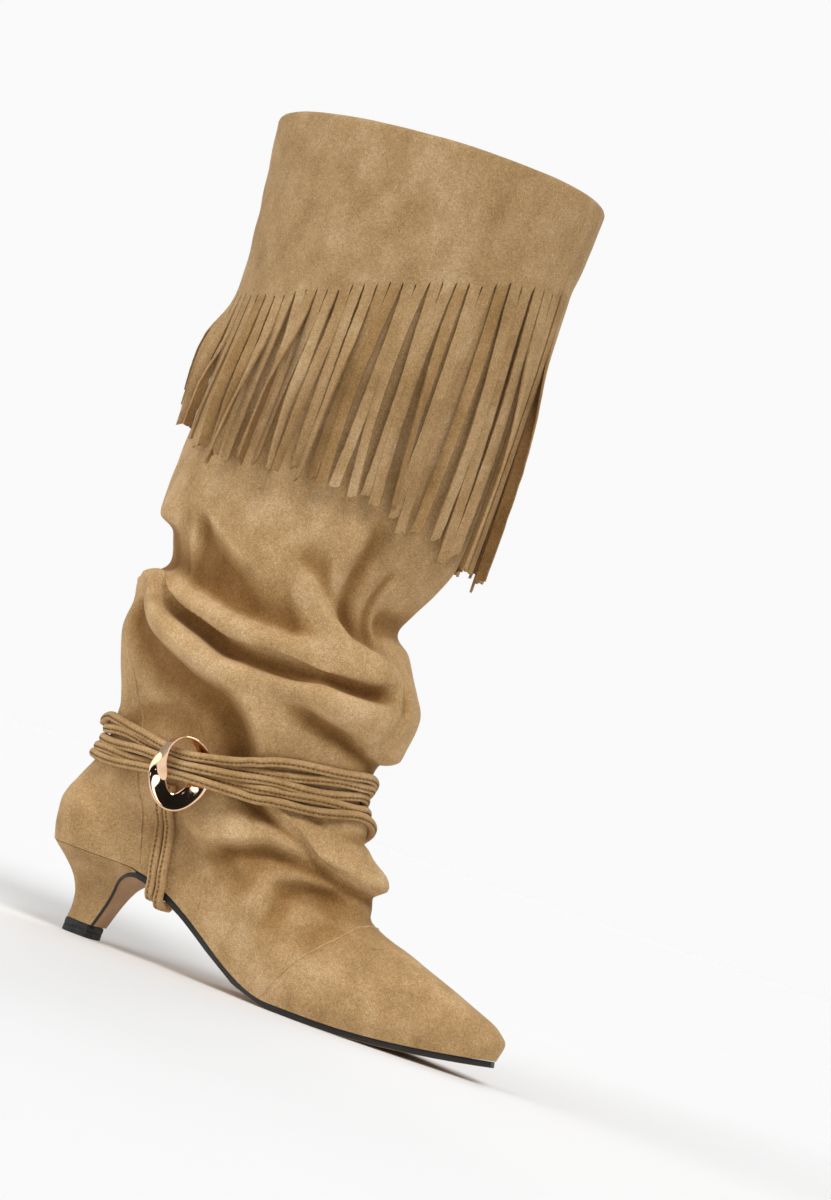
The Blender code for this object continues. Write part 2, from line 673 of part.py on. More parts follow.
def make_cuff():
    """The turned-down cuff hooks over the shaft's edge, and its lower part is cut into fringe strips."""
    columns = STRIP_COLUMNS
    strips = columns * STRIPS_PER_COLUMN
    angles = even_angles(np.arange(columns) / columns)
    band = CUFF_BAND_HEIGHT * round_table(CUFF_ROUND, 1, angles)
    hook = CUFF_STANDOFF + CUFF_WALL
    inside = UPPER_WALL + CUFF_STANDOFF
    shoulder = CUFF_WALL * 1.2

    def ring(drops, out):
        drops = np.broadcast_to(np.asarray(drops, float), angles.shape)
        points, outward = wall_points(angles, np.minimum(BOOT_HEIGHT - drops, BOOT_HEIGHT - hook))
        points[:, 2] = BOOT_HEIGHT - drops
        return points + out * outward

    bm = bmesh.new()
    outline = [
        ring(CUFF_FACING, -inside - CUFF_WALL),
        ring(shoulder, -inside - CUFF_WALL * 0.9),
        ring(0.0, -UPPER_WALL / 2),
        ring(shoulder, hook * 0.95),
        ring(band / 3, hook),
        ring(band * 2 / 3, hook),
    ]
    under = [
        ring(band * 2 / 3, CUFF_STANDOFF),
        ring(band / 3, CUFF_STANDOFF),
        ring(CUFF_WALL, CUFF_STANDOFF),
        ring(CUFF_WALL, -inside),
        ring(CUFF_FACING, -inside),
    ]
    skins = [[bm.verts.new(p) for p in line] for line in under + outline]
    for low, high in zip(skins, skins[1:]):
        for i in range(columns):
            j = (i + 1) % columns
            bm.faces.new((low[i], low[j], high[j], high[i]))

    marks = np.arange(strips)
    half_slit = SLIT_WIDTH / 2 / rim_walk()[1][-1]
    edges = [even_angles(marks / strips + half_slit), even_angles((marks + 1) / strips - half_slit)]
    middle = even_angles((marks + 0.5) / strips)
    length = FRINGE_LENGTH * round_table(CUFF_ROUND, 2, middle)
    rows = []
    for share in (0.0, 0.33, 0.66, 1.0):
        row = []
        for turned, out in ((edges[0], hook), (edges[1], hook), (edges[1], CUFF_STANDOFF),
                            (edges[0], CUFF_STANDOFF)):
            start = BOOT_HEIGHT - CUFF_BAND_HEIGHT * round_table(CUFF_ROUND, 1, turned)
            top, outward = wall_points(turned, start)
            below, _ = wall_points(turned, start - length * share)
            swell = np.maximum(((below - top) * outward).sum(axis=1), 0.0) + FRINGE_FLARE * share
            corner = top + (out + swell)[:, None] * outward
            corner[:, 2] = start - length * share
            row.append([bm.verts.new(p) for p in corner])
        rows.append(row)
    outer_edge, inner_edge = skins[-1], skins[0]
    left, right, right_in, left_in = rows[0]
    for i in range(columns):
        j = (i + 1) % columns
        own = [k + i * STRIPS_PER_COLUMN for k in range(STRIPS_PER_COLUMN)]
        outside = [v for k in own for v in (left[k], right[k])]
        inside_line = [v for k in own for v in (left_in[k], right_in[k])]
        bm.faces.new([outer_edge[i], *outside, outer_edge[j]])
        bm.faces.new([inner_edge[i], *inside_line, inner_edge[j]])
        after = (own[-1] + 1) % strips
        bm.faces.new((right[own[-1]], left[after], outer_edge[j]))
        bm.faces.new((right_in[own[-1]], left_in[after], inner_edge[j]))
    for k in range(strips):
        after = (k + 1) % strips
        bm.faces.new((right[k], left[after], left_in[after], right_in[k]))
        for low, high in zip(rows, rows[1:]):
            for side in range(4):
                turn = (side + 1) % 4
                bm.faces.new((low[side][k], low[turn][k], high[turn][k], high[side][k]))
        bm.faces.new([corner[k] for corner in rows[-1]])
    return link("cuff_fringe", bm, SUEDE, 0.95)


def bump(angles, centre, width):
    """1 at a place round the boot, falling off to both sides of it."""
    turn = (np.asarray(angles) - centre + math.pi) % (2 * math.pi) - math.pi
    return np.exp(-((turn / width) ** 2))


def ring_angle():
    """Where the ring sits round the ankle."""
    return math.acos(1 - 2 * RING_ALONG)


def cord_centres(number, angles):
    """The middle line of one ankle cord."""
    row_up, bunch_up, bunch_out = CORD_SLOTS[number]
    bunch = bump(angles, ring_angle() + BUNCH_AHEAD, BUNCH_SPREAD)
    quick = np.sin(bunch * math.pi / 2)
    up = (row_up * (1 - bunch) + bunch_up * bunch) * CORD_PITCH
    climb = CLIMB * bump(angles, ring_angle() + CLIMB_AHEAD, CLIMB_SPREAD)
    height = ANKLE_HEIGHT * round_table(CORD_ROUTE, 1, angles) + up
    beside, outward = stand_clear(angles, height, CORD_DIAMETER / 2 + CORD_CLEARANCE)
    return beside + (bunch_out * quick * CORD_PITCH + climb)[:, None] * outward


def sweep_cord(bm, centres, closed):
    """A cord's round tube along a line of points."""
    radius = CORD_DIAMETER / 2
    centres = np.asarray(centres)
    along = np.roll(centres, -1, axis=0) - np.roll(centres, 1, axis=0)
    if not closed:
        along[0], along[-1] = centres[1] - centres[0], centres[-1] - centres[-2]
    along /= np.linalg.norm(along, axis=1, keepdims=True)
    side = np.cross(along, (0.0, 0.0, 1.0))
    if not closed:
        side = np.cross(along, (1.0, 0.0, 0.0))
    side /= np.linalg.norm(side, axis=1, keepdims=True)
    up = np.cross(side, along)
    rings = []
    for centre, across, rise in zip(centres, side, up):
        turns = [2 * math.pi * (k + 0.5) / CORD_SIDES for k in range(CORD_SIDES)]
        rings.append([centre + radius * (math.cos(t) * across + math.sin(t) * rise) for t in turns])
    loft(bm, rings, cap_ends=not closed, close_ends=closed)


def make_ankle_cords():
    """Parallel stitched cords wound round the ankle, gathered where they pass through the ring."""
    angles = column_angles(36) + math.radians(5)
    for number in range(CORD_COUNT):
        bm = bmesh.new()
        sweep_cord(bm, cord_centres(number, angles), closed=True)
        link(f"ankle_cord_{number + 1}", bm, SUEDE, 0.9)


def ring_seat():
    """The place on the wall that the ring hangs before, and the level way out from it."""
    angle = ring_angle()
    height = ANKLE_HEIGHT * float(round_table(CORD_ROUTE, 1, np.array([angle]))[0]) - RING_DROP
    wall, outward = wall_points([angle], [height])
    return wall[0], outward[0]


def make_ring():
    """A polished oval band with half a twist: edge on at its top, a wide dish at its foot."""
    wall, outward = ring_seat()
    centre = wall + RING_STANDOFF * outward
    up = np.array([0.0, 0.0, 1.0])
    face = np.array([outward[0] * math.cos(RING_TURN) - outward[1] * math.sin(RING_TURN),
                     outward[0] * math.sin(RING_TURN) + outward[1] * math.cos(RING_TURN), 0.0])
    across = np.cross(up, face)
    angle, middle, half, turned = np.array(RING_BAND, float).T
    bm = bmesh.new()
    sections = []
    for turn in np.arange(RING_STEPS) * 2 * math.pi / RING_STEPS:
        radius, reach, tip = (float(monotone(angle, column, math.degrees(turn)))
                              for column in (middle, half, np.radians(turned)))
        radial = math.sin(turn) * across + RING_OVAL * math.cos(turn) * up
        radial /= np.linalg.norm(radial)
        wide = math.cos(tip) * radial - math.sin(tip) * face
        thin = math.sin(tip) * radial + math.cos(tip) * face
        at = centre + radius * RING_RADIUS * (RING_OVAL * math.sin(turn) * across + math.cos(turn) * up)
        sections.append([bm.verts.new(at + a * reach * RING_RADIUS * wide + b * RING_PLATE / 2 * thin)
                         for a, b in ((-1, -1), (1, -1), (1, 1), (-1, 1))])
    first = sections[0]
    sections.append(first[2:] + first[:2])
    for low, high in zip(sections, sections[1:]):
        for i in range(4):
            j = (i + 1) % 4
            bm.faces.new((low[i], low[j], high[j], high[i]))
    return link("ring", bm, (0.80, 0.42, 0.24), 0.12, metallic=1.0)


def side_angles(side):
    """Angles along the lateral, -1, or medial side, +1, just short of the boot's back and front."""
    margin = 0.08
    return -side * np.linspace(margin, math.pi - margin, 61)


def side_wall(x, z, side, distance=0.0):
    """A point at a distance from the wall, at a place along the boot and a height, on one side."""
    turned = side_angles(side)
    wall, outward = stand_clear(turned, np.full(turned.shape, z), distance)
    order = np.argsort(wall[:, 0])
    y = float(np.interp(x, wall[order, 0], wall[order, 1]))
    slope = [float(np.interp(x, wall[order, 0], outward[order, k])) for k in (0, 1)]
    out = np.array([*slope, 0.0])
    return np.array([x, y, z]), out / np.linalg.norm(out)


def under_sole(x, distance):
    """A height that keeps a distance below the outsole at the waist."""
    slope = float(feather_line(x + 0.001) - feather_line(x - 0.001)) / 0.002
    return float(feather_line(x)) - GAP - (SOLE_THICKNESS + distance) * math.hypot(1, slope)


def make_stirrup_cords():
    """Two cords from behind the ring, down the lateral side and under the waist."""
    radius = CORD_DIAMETER / 2
    ring_x = ring_seat()[0][0]
    top_z = ANKLE_HEIGHT * STIRRUP_TOP
    for number, (behind, under) in enumerate(STIRRUP_CORDS):
        top_x = ring_x - behind
        low_x = under * FOOT_LENGTH - HEEL_OVERHANG
        low_z = float(feather_line(low_x)) + STRAP_CLEARANCE
        route = []
        for share in (0.0, 0.2, 0.4, 0.6, 0.8, 0.92, 1.0):
            x = top_x + (low_x - top_x) * share**STIRRUP_SWEEP
            beside, _ = side_wall(x, top_z + (low_z - top_z) * share, -1, radius + CORD_CLEARANCE)
            route.append(beside)
        edge_y = route[-1][1]
        floor_z = under_sole(low_x + UNDER_WAIST[-1][0] * CORD_DIAMETER, radius + STRAP_CLEARANCE)
        route.append(np.array([low_x, edge_y + CORD_DIAMETER / 8, (low_z + floor_z) / 2]))
        for forward, inward in UNDER_WAIST:
            route.append(np.array([low_x + forward * CORD_DIAMETER, edge_y + inward * CORD_DIAMETER,
                                   floor_z]))
        bm = bmesh.new()
        sweep_cord(bm, route, closed=False)
        link(f"stirrup_cord_{number + 1}", bm, SUEDE, 0.9)


def cord_at(number, x, side):
    """One ankle cord's middle at a place along the boot, and the level way out from it."""
    centres = cord_centres(number, side_angles(side))
    order = np.argsort(centres[:, 0])
    y, z = (float(np.interp(x, centres[order, 0], centres[order, k])) for k in (1, 2))
    _, outward = side_wall(x, z, side)
    return np.array([x, y, z]), outward


def strap_edge(shift):
    """One edge of the stirrup strap: points, and the way its outer face looks at each."""
    low_x = STRAP_UNDER * FOOT_LENGTH - HEEL_OVERHANG + shift
    top_x = STRAP_HOOK * FOOT_LENGTH - HEEL_OVERHANG + shift
    reach = CORD_DIAMETER / 2 + STRAP_CLEARANCE
    lowest, _ = cord_at(0, top_x, 1)
    base_z = float(feather_line(low_x))
    climb = lowest[2] - reach - base_z
    down = np.array([0.0, 0.0, -1.0])
    climb_shares = (0.03, 0.16, 0.30, 0.45, 0.62, 0.82)
    edge, _ = side_wall(low_x, base_z + climb * climb_shares[0], 1, STRAP_CLEARANCE)
    points = []
    for y in STRAP_RUN:
        x = low_x - STRAP_SLANT * (STRAP_RUN[-1] - y)
        points.append((np.array([x, y, under_sole(x, STRAP_CLEARANCE)]), down))
    under = under_sole(low_x, STRAP_CLEARANCE)
    points.append((np.array([low_x, edge[1] - STRAP_CLEARANCE, under]), np.array([0.0, 0.5, -0.85])))
    points.append((np.array([low_x, edge[1], under + 2 * STRAP_CLEARANCE]), np.array([0.0, 0.9, -0.4])))
    for share in climb_shares:
        x = low_x + (top_x - low_x) * share
        points.append(side_wall(x, base_z + climb * share, 1, STRAP_CLEARANCE))
    for number, out, up in STRAP_OVER_CORDS:
        middle, outward = cord_at(number, top_x, 1)
        facing = outward * max(out, 0.0) - down * up
        points.append((middle + reach * (out * outward - up * down), facing))
    return points


def make_stirrup_strap():
    """A flat strap from the stirrup cords' ends, under the waist and up the medial side, hooked over the
    ankle cords."""
    rings = []
    edges = zip(strap_edge(-STRAP_WIDTH / 2), strap_edge(STRAP_WIDTH / 2))
    for (back, face_back), (front, face_front) in edges:
        thick = STRAP_THICKNESS * (face_back + face_front) / np.linalg.norm(face_back + face_front)
        rings.append([back, front, front + thick, back + thick])
    bm = bmesh.new()
    loft(bm, rings)
    return link("stirrup_strap", bm, SUEDE, 0.9)


def main():
    for old in list(bpy.data.objects):
        bpy.data.objects.remove(old)
    make_upper()
    make_insole()
    make_outsole()
    make_heel()
    make_top_piece()
    make_cuff()
    make_ankle_cords()
    make_ring()
    make_stirrup_cords()
    make_stirrup_strap()


main()
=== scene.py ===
"""The looks of a right-foot knee-high slouch boot: napped suede in folds, a cuff cut into
fringe, stitched cords round the ankle through a polished ring, and a covered heel.

Metres, in the model's frame: +X to the toe, +Y medial, +Z up, lateral side at -Y.
"""
import math

import bmesh
import bpy
import numpy as np
from mathutils import Matrix, Vector
from mathutils.bvhtree import BVHTree


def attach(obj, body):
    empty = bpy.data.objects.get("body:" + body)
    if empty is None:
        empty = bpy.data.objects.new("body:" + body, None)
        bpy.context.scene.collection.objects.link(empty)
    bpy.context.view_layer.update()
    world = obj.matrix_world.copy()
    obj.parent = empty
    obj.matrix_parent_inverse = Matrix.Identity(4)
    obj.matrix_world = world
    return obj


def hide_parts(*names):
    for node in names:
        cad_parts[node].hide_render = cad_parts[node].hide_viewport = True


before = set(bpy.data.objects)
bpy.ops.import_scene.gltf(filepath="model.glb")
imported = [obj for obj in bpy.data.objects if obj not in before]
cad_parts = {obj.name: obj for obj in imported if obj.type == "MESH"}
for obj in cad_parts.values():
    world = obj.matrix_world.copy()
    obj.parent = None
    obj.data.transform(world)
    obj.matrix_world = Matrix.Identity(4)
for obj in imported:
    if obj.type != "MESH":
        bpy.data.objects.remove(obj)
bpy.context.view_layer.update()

# Sizes, as the model has them; only the ring sits a little nearer the toe here, and leans
GAP = 0.0003
FOOT_LENGTH = 0.275
HEEL_OVERHANG = 0.030
BALL_WIDTH = 0.080
HEEL_HEIGHT = 0.045
TOE_SPRING = 0.010
SEAT_END = 0.20
TREAD_START = 0.585
TREAD_END = 0.700
TOE_SPRING_POWER = 1.7
COUNTER_HEIGHT = 0.055
INSTEP_HEIGHT = 0.095
SOLE_THICKNESS = 0.0032
SOLE_INSET = 0.0012
BREAST_FLAP = 0.0016
BREAST_START = 0.034
BREAST_RADIUS = 0.018
BREAST_SWEEP = math.radians(72)
TOP_PIECE = 0.0070
HEEL_FOOT_WIDTH = 0.0178
HEEL_FOOT_BACK = 0.0095
ANKLE_HEIGHT = 0.100
BOOT_HEIGHT = 0.465
SHAFT_CENTRE = 0.051
SHAFT_DEPTH = 0.190
SHAFT_WIDTH = 0.120
FOLD_DEPTH = 0.008
FOLD_RISE = 0.012
CUFF_WALL = 0.0014
CUFF_STANDOFF = 0.0012
CUFF_FACING = 0.020
CUFF_INSIDE = 0.0018
CUFF_JITTER = 0.0022
CUFF_BAND = 0.087
FRINGE_LENGTH = 0.110
FRINGE_FLARE = 0.0035
STRIPS = 70
SLIT_WIDTH = 0.0009
CORD_DIAMETER = 0.0052
CORD_PITCH = CORD_DIAMETER * 1.04
STITCH_PITCH = 0.0026
STITCH_RADIUS = 0.00042
GROOVE_DEPTH = 0.00055
LIP_HEIGHT = 0.00045
RING_ALONG = 0.440
RING_RADIUS = 0.0205
RING_PLATE = 0.0015
RING_STANDOFF = 0.0116
RING_TURN = math.radians(31)
RING_DROP = 0.0045
RING_DISH = 0.00015
RING_STEPS = 200
RING_SIDES = 24
STRAP_WIDTH = 0.0125
STRAP_THICKNESS = 0.0016
STRAP_CLEARANCE = 0.0010
LEATHER = 0.0010
UPWARD = (0.0, 0.0, 1.0)
LINING_GAP = 0.0001
LINING_DEPTH = 0.0008
# How far the creases' push spans the suede's painted shade, from darkest in a crease to lightest on a ridge
SHADE_SPAN = 0.009
# The leg's radius that turns round the creases' lines are reckoned at, and how a line fades at its ends
CREASE_RADIUS = 0.075
LINE_FADE = 16.0
LINE_FADE_SHARE = 0.32
# Unevenness of the leather: height, length of its waves, seed
UPPER_UNEVEN = ((0.0007, 0.055, 3), (0.0004, 0.022, 5))
CUFF_UNEVEN = ((0.0008, 0.060, 11), (0.0003, 0.020, 12))

OUTLINE = np.array((
    # along, half width, drift to the medial side
    (0.00, 0.700, 0.00),
    (0.11, 0.712, 0.00),
    (0.22, 0.690, -0.02),
    (0.36, 0.600, -0.06),
    (0.48, 0.720, -0.05),
    (0.60, 0.955, -0.01),
    (0.665, 1.000, 0.02),
    (0.76, 0.870, 0.07),
    (0.86, 0.600, 0.10),
    (0.94, 0.355, 0.11),
    (1.00, 0.220, 0.11),
))
HEEL_ROUND = 0.105
TOE_ROUND = 0.030

FOOT_LOOPS = (
    # back, back rise, front, front rise, half width, foot shape, follow
    (0.000, 0.00, 1.000, 0.000, 1.000, 1.00, 1.00),
    (-0.010, 0.22, 1.006, 0.090, 1.065, 1.00, 1.00),
    (-0.013, 0.39, 0.984, 0.172, 1.065, 1.00, 0.92),
    (-0.009, 0.52, 0.898, 0.316, 0.985, 0.80, 0.75),
    (0.000, 0.63, 0.793, 0.460, 0.935, 0.50, 0.55),
    (0.009, 0.73, 0.680, 0.610, 0.950, 0.20, 0.30),
    (0.018, 0.81, 0.672, 0.800, 1.000, 0.00, 0.10),
    (0.0255, 0.88, 0.632, 0.940, 1.010, 0.00, 0.00),
)
SHAFT_LOOPS = (
    # rise, front lift, back, front, half width
    (-0.004, 0.026, -0.382, 0.437, 0.345),
    (0.018, 0.036, -0.370, 0.405, 0.340),
    (0.066, 0.028, -0.366, 0.425, 0.370),
    (0.186, 0.006, -0.447, 0.487, 0.452),
    (0.302, 0.004, -0.400, 0.356, 0.425),
    (0.418, 0.006, -0.458, 0.447, 0.454),
    (0.548, 0.000, -0.447, 0.468, 0.462),
    (0.740, 0.000, -0.442, 0.474, 0.471),
    (1.000, 0.000, -0.500, 0.505, 0.500),
)
FOLDS = (
    # angle, height, slope, spread, rise, depth: the model's own soft folds
    (52, 0.412, -0.070, 0.60, 0.80, -0.80),
    (118, 0.381, -0.005, 0.65, 0.75, -1.00),
    (62, 0.352, -0.100, 0.50, 0.95, 0.60),
    (46, 0.300, -0.060, 0.50, 1.30, -0.60),
    (158, 0.322, 0.000, 0.50, 0.70, -0.70),
    (132, 0.200, -0.110, 0.30, 0.70, -0.45),
    (140, 0.176, 0.000, 0.55, 0.65, -0.60),
    (300, 0.350, 0.030, 0.40, 0.85, -0.90),
    (238, 0.318, -0.020, 0.60, 0.70, -0.60),
    (275, 0.262, 0.060, 0.45, 0.80, -0.50),
    (285, 0.400, 0.020, 0.60, 1.60, 0.60),
)

# Creases laid over the soft folds. Each line runs round the boot as (angle, height in mm), the angle in
# degrees from the back by the lateral side. Each wave beside it, in mm: way up from the line, push out,
# reach upward, reach downward, and how far the leather is dragged up there.
CREASES = (
    ("tuck", ((24, 199), (36, 201), (52, 198), (68, 194), (85, 189), (104, 187), (126, 188)),
     ((-3.5, 4.2, 3.6, 9.5, 2.0), (6.5, -5.4, 11.0, 4.2, 0.0))),
    ("tuck_back", ((-44, 204), (-14, 203), (10, 201), (26, 200), (40, 201)),
     ((-6.0, 3.8, 9.0, 10.0, 0.0), (7.0, -4.2, 9.0, 8.0, 0.0))),
    ("tuck_roll", ((-20, 196), (8, 194), (26, 192), (42, 190)),
     ((0.0, 2.0, 8.0, 9.0, 0.0),)),
    ("overhang", ((38, 194), (50, 189), (61, 184), (73, 180), (88, 173), (105, 172), (123, 174), (142, 175),
                  (163, 178)),
     ((5.2, 3.2, 9.0, 2.0, -2.4), (-1.4, -7.4, 4.4, 6.0, 0.0), (-9.4, 3.0, 3.2, 7.0, 0.8))),
    ("pouch_edge", ((22, 195), (36, 187), (47, 178), (57, 168.5), (68, 161), (79, 155), (91, 150.5),
                    (98.5, 143), (105.7, 131), (114, 116), (120, 108)),
     ((3.4, 3.5, 11.0, 2.3, -1.4), (-8.5, -6.8, 5.6, 14.0, 0.0))),
    ("pouch_floor", ((112, 159), (122, 156), (131, 153.5), (143, 151), (156, 147), (168, 143),
                     (182, 141), (206, 143)),
     ((7.5, 6.0, 13.0, 7.2, -1.4), (-5.5, -4.6, 4.4, 5.0, 1.2))),
    ("diagonal", ((48, 243), (59.5, 237.5), (68, 230), (77.5, 222), (87, 216), (97, 211)),
     ((0.8, 1.7, 2.6, 1.6, 0.0), (-8.0, -3.6, 5.0, 10.0, 0.0))),
    ("back_bump", ((-36, 233), (0, 232), (25, 231), (46, 229)),
     ((2.5, 3.0, 9.0, 4.6, -1.0), (-8.0, -3.4, 5.0, 7.0, 0.4))),
    ("knee_ridge", ((104, 223), (114.4, 218), (125, 207), (136.5, 197), (148, 192), (160, 189), (172, 184)),
     ((-1.0, 3.8, 3.6, 9.0, 0.8), (7.5, -3.4, 7.0, 3.6, 0.0))),
    ("front_notch", ((146, 208), (158, 210), (172, 211), (196, 210), (214, 206)),
     ((0.0, -3.2, 7.5, 6.0, 0.0), (-12.0, 2.4, 6.0, 9.0, 0.6))),
    ("ankle_fold", ((101, 106), (108, 103), (114, 99), (128, 90), (143, 82), (156, 78)),
     ((4.8, 4.0, 7.5, 3.0, -1.2), (-3.0, -4.6, 3.4, 3.8, 0.0))),
    ("ankle_pocket", ((118, 113), (132, 105), (146, 100)),
     ((0.0, -3.0, 3.4, 4.0, 0.0),)),
    ("instep_fold", ((78, 65), (90, 68.5), (104.7, 75), (116.6, 80), (130, 79), (142, 77), (158, 74.5),
                     (180, 73), (204, 75)),
     ((5.6, 4.4, 8.0, 3.4, -1.4), (-3.0, -4.6, 3.4, 4.8, 0.0), (-12.0, -2.4, 4.0, 8.0, 0.0))),
    ("vamp_top", ((90, 37), (97.5, 41), (108, 51), (119.4, 61), (136, 67), (158, 70)),
     ((4.0, 2.4, 6.0, 2.6, 0.0), (-2.6, -2.6, 3.2, 5.0, 0.0))),
    ("vamp_soft", ((100, 30), (112, 38), (126, 48), (142, 55)),
     ((0.0, -1.6, 5.0, 6.0, 0.0), (8.0, 1.2, 4.0, 4.0, 0.0))),
    ("heel_hollow", ((30, 118), (48, 124), (66, 126), (84, 121)),
     ((0.0, -2.4, 7.0, 7.0, 0.0), (11.0, 1.2, 5.0, 5.0, 0.0))),
    ("medial_pocket", ((292, 172), (304, 168), (318, 166), (327, 170), (335, 179), (350, 186), (372, 191)),
     ((6.0, 4.8, 10.0, 2.6, -3.6), (-4.0, -8.0, 3.6, 7.0, 1.0), (-17.0, 3.4, 4.0, 8.0, 2.0))),
    ("medial_nose", ((286, 176), (294, 166), (298, 158), (300, 150)),
     ((0.0, 3.2, 4.5, 4.5, 0.0), (10.0, -2.6, 5.0, 7.0, 0.0))),
    ("medial_line", ((250, 168), (262, 165), (272, 163), (285, 160), (305, 155), (322, 151)),
     ((2.8, 2.6, 7.0, 1.6, -1.6), (-2.0, -3.2, 2.4, 5.0, 0.0))),
    ("medial_low", ((284, 112), (297, 117), (305, 121), (322, 128), (340, 137), (352, 144)),
     ((3.8, 3.2, 8.0, 2.2, -1.0), (-2.4, -3.8, 3.0, 6.0, 0.0))),
    ("medial_ridge", ((258, 186), (280, 191), (300, 198), (330, 201), (350, 204)),
     ((0.0, 3.4, 7.0, 6.0, 0.0), (12.0, -2.6, 7.0, 6.0, 0.0))),
    ("medial_front", ((196, 166), (212, 174), (230, 178), (246, 175), (256, 170)),
     ((4.0, 3.0, 9.0, 2.4, -2.0), (-3.4, -4.2, 3.4, 6.0, 0.0))),
    ("medial_instep", ((200, 88), (214, 84), (232, 76), (250, 69), (262, 63)),
     ((4.2, 3.4, 7.0, 2.2, -2.0), (-2.6, -3.8, 3.2, 5.0, 0.0))),
    ("medial_vamp", ((206, 66), (222, 58), (240, 48), (254, 40)),
     ((2.6, 1.8, 5.0, 2.6, 0.0), (-3.4, -1.8, 3.2, 4.4, 0.0))),
    ("front_bulge", ((150, 104), (165, 106), (180, 107), (196, 105), (210, 100)),
     ((0.0, 1.8, 3.4, 3.4, 0.0), (-7.5, -2.2, 3.0, 3.0, 0.0))),
)
# Creases that run up the shaft: (height in mm, angle), then waves beside them in mm: way round from the
# line, push out, reach forward, reach backward.
UPRIGHTS = (
    ("front_hollow", ((196, 140), (214, 135), (231, 131), (263, 128)),
     ((0.0, -3.4, 5.5, 3.4), (-8.0, 2.4, 3.4, 7.0))),
    ("front_edge", ((198, 152), (212, 148), (236, 146)), ((0.0, -2.0, 2.8, 2.4), (5.4, 1.6, 4.0, 2.6))),
    ("front_pleat", ((186, 112), (200, 110), (218, 107)), ((0.0, -1.3, 3.4, 4.0), (7.0, 0.9, 4.0, 3.6))),
    ("back_ridge", ((196, 58), (214, 56), (236, 54)), ((0.0, 1.8, 4.0, 3.4), (9.0, -1.8, 5.0, 5.0))),
    ("pouch_pleat", ((148, 164), (164, 167), (184, 170)), ((0.0, -2.0, 3.0, 3.4), (6.0, 1.2, 4.0, 2.6))),
    ("medial_pleat", ((196, 246), (216, 240), (244, 236)), ((0.0, -2.4, 5.0, 5.0), (9.0, 1.6, 5.0, 4.0))),
    ("medial_back", ((124, 336), (146, 330), (166, 324)), ((0.0, -1.6, 4.0, 5.0), (8.0, 1.2, 5.0, 4.0))),
)

CUFF_ROUND = (
    # angle, band, fringe
    (0, 1.13, 0.56),
    (45, 1.22, 0.80),
    (90, 1.03, 0.97),
    (125, 0.82, 1.16),
    (155, 0.68, 1.40),
    (180, 0.61, 1.47),
    (215, 0.72, 1.36),
    (250, 0.88, 1.18),
    (290, 1.05, 0.98),
    (325, 1.15, 0.74),
    (360, 1.13, 0.56),
)
CORD_ROUTE = (
    # angle, height
    (0, 1.06),
    (80, 1.05),
    (125, 1.13),
    (180, 1.20),
    (225, 1.06),
    (262, 0.93),
    (310, 0.99),
    (360, 1.06),
)
CORD_BUNCH = (
    # up and out in the bunch inside the ring, in cord pitches
    (-1.0, 0.9),
    (-0.5, 0.0),
    (0.0, 0.9),
    (0.5, 0.0),
    (1.0, 0.9),
)
RING_OVAL = 0.80
RING_LEAN = math.radians(-9)
RING_BAND = (
    # angle, middle, half width, turn: the band makes half a twist on its way round
    (0, 0.94, 0.19, 92),
    (45, 0.91, 0.20, 128),
    (90, 0.78, 0.23, 164),
    (140, 0.70, 0.24, 171),
    (190, 0.77, 0.24, 168),
    (230, 0.70, 0.24, 170),
    (262, 0.65, 0.24, 180),
    (285, 0.68, 0.235, 218),
    (306, 0.72, 0.22, 238),
    (330, 0.82, 0.20, 255),
    (360, 0.94, 0.19, 272),
)
HEEL_RINGS = np.array((
    # height share, back as a share of the overhang, how far the width has opened
    (0.00, 0.317, 0.000),
    (0.16, 0.300, 0.000),
    (0.34, 0.325, 0.020),
    (0.52, 0.415, 0.110),
    (0.68, 0.560, 0.310),
    (0.84, 0.770, 0.640),
    (0.95, 0.925, 0.930),
    (1.00, 1.000, 1.000),
))


def monotone(stations, values, at):
    """A smooth curve through the values that never overshoots them."""
    xs, ys, at = (np.asarray(v, float) for v in (stations, values, at))
    step = np.diff(xs)
    rise = np.diff(ys) / step
    slope = np.zeros_like(ys)
    slope[0], slope[-1] = rise[0], rise[-1]
    same_way = rise[:-1] * rise[1:] > 0
    before, after = 2 * step[1:] + step[:-1], step[1:] + 2 * step[:-1]
    safe = np.where(same_way, rise[:-1] * rise[1:], 1.0)
    mean = (before + after) * safe / (before * rise[1:] + after * rise[:-1] + (~same_way) * 1e9)
    slope[1:-1] = np.where(same_way, mean, 0.0)
    i = np.clip(np.searchsorted(xs, at, side="right") - 1, 0, len(step) - 1)
    u = np.clip((at - xs[i]) / step[i], 0.0, 1.0)
    return (
        (1 + 2 * u) * (1 - u) ** 2 * ys[i]
        + u * (1 - u) ** 2 * step[i] * slope[i]
        + u * u * (3 - 2 * u) * ys[i + 1]
        + u * u * (u - 1) * step[i] * slope[i + 1]
    )


def smoothstep(low, high, x):
    """0 below the low value, 1 above the high one, and an even rise between."""
    u = np.clip((np.asarray(x, float) - low) / (high - low), 0.0, 1.0)
    return u * u * (3 - 2 * u)


def feather_height(x):
    """Height of the line where upper and sole meet."""
    along = (np.asarray(x, float) + HEEL_OVERHANG) / FOOT_LENGTH
    tread = SOLE_THICKNESS + GAP
    arch = 1 - smoothstep(SEAT_END, TREAD_START, along)
    toe = np.clip((along - TREAD_END) / 0.300, 0.0, 1.2) ** TOE_SPRING_POWER
    return tread + (HEEL_HEIGHT - tread) * arch + TOE_SPRING * toe


def feather_line(x):
    """The same height along the model's straight runs."""
    knots = (1 - np.cos(np.arange(21) * math.pi / 20)) / 2 * FOOT_LENGTH - HEEL_OVERHANG
    return np.interp(x, knots, feather_height(knots))


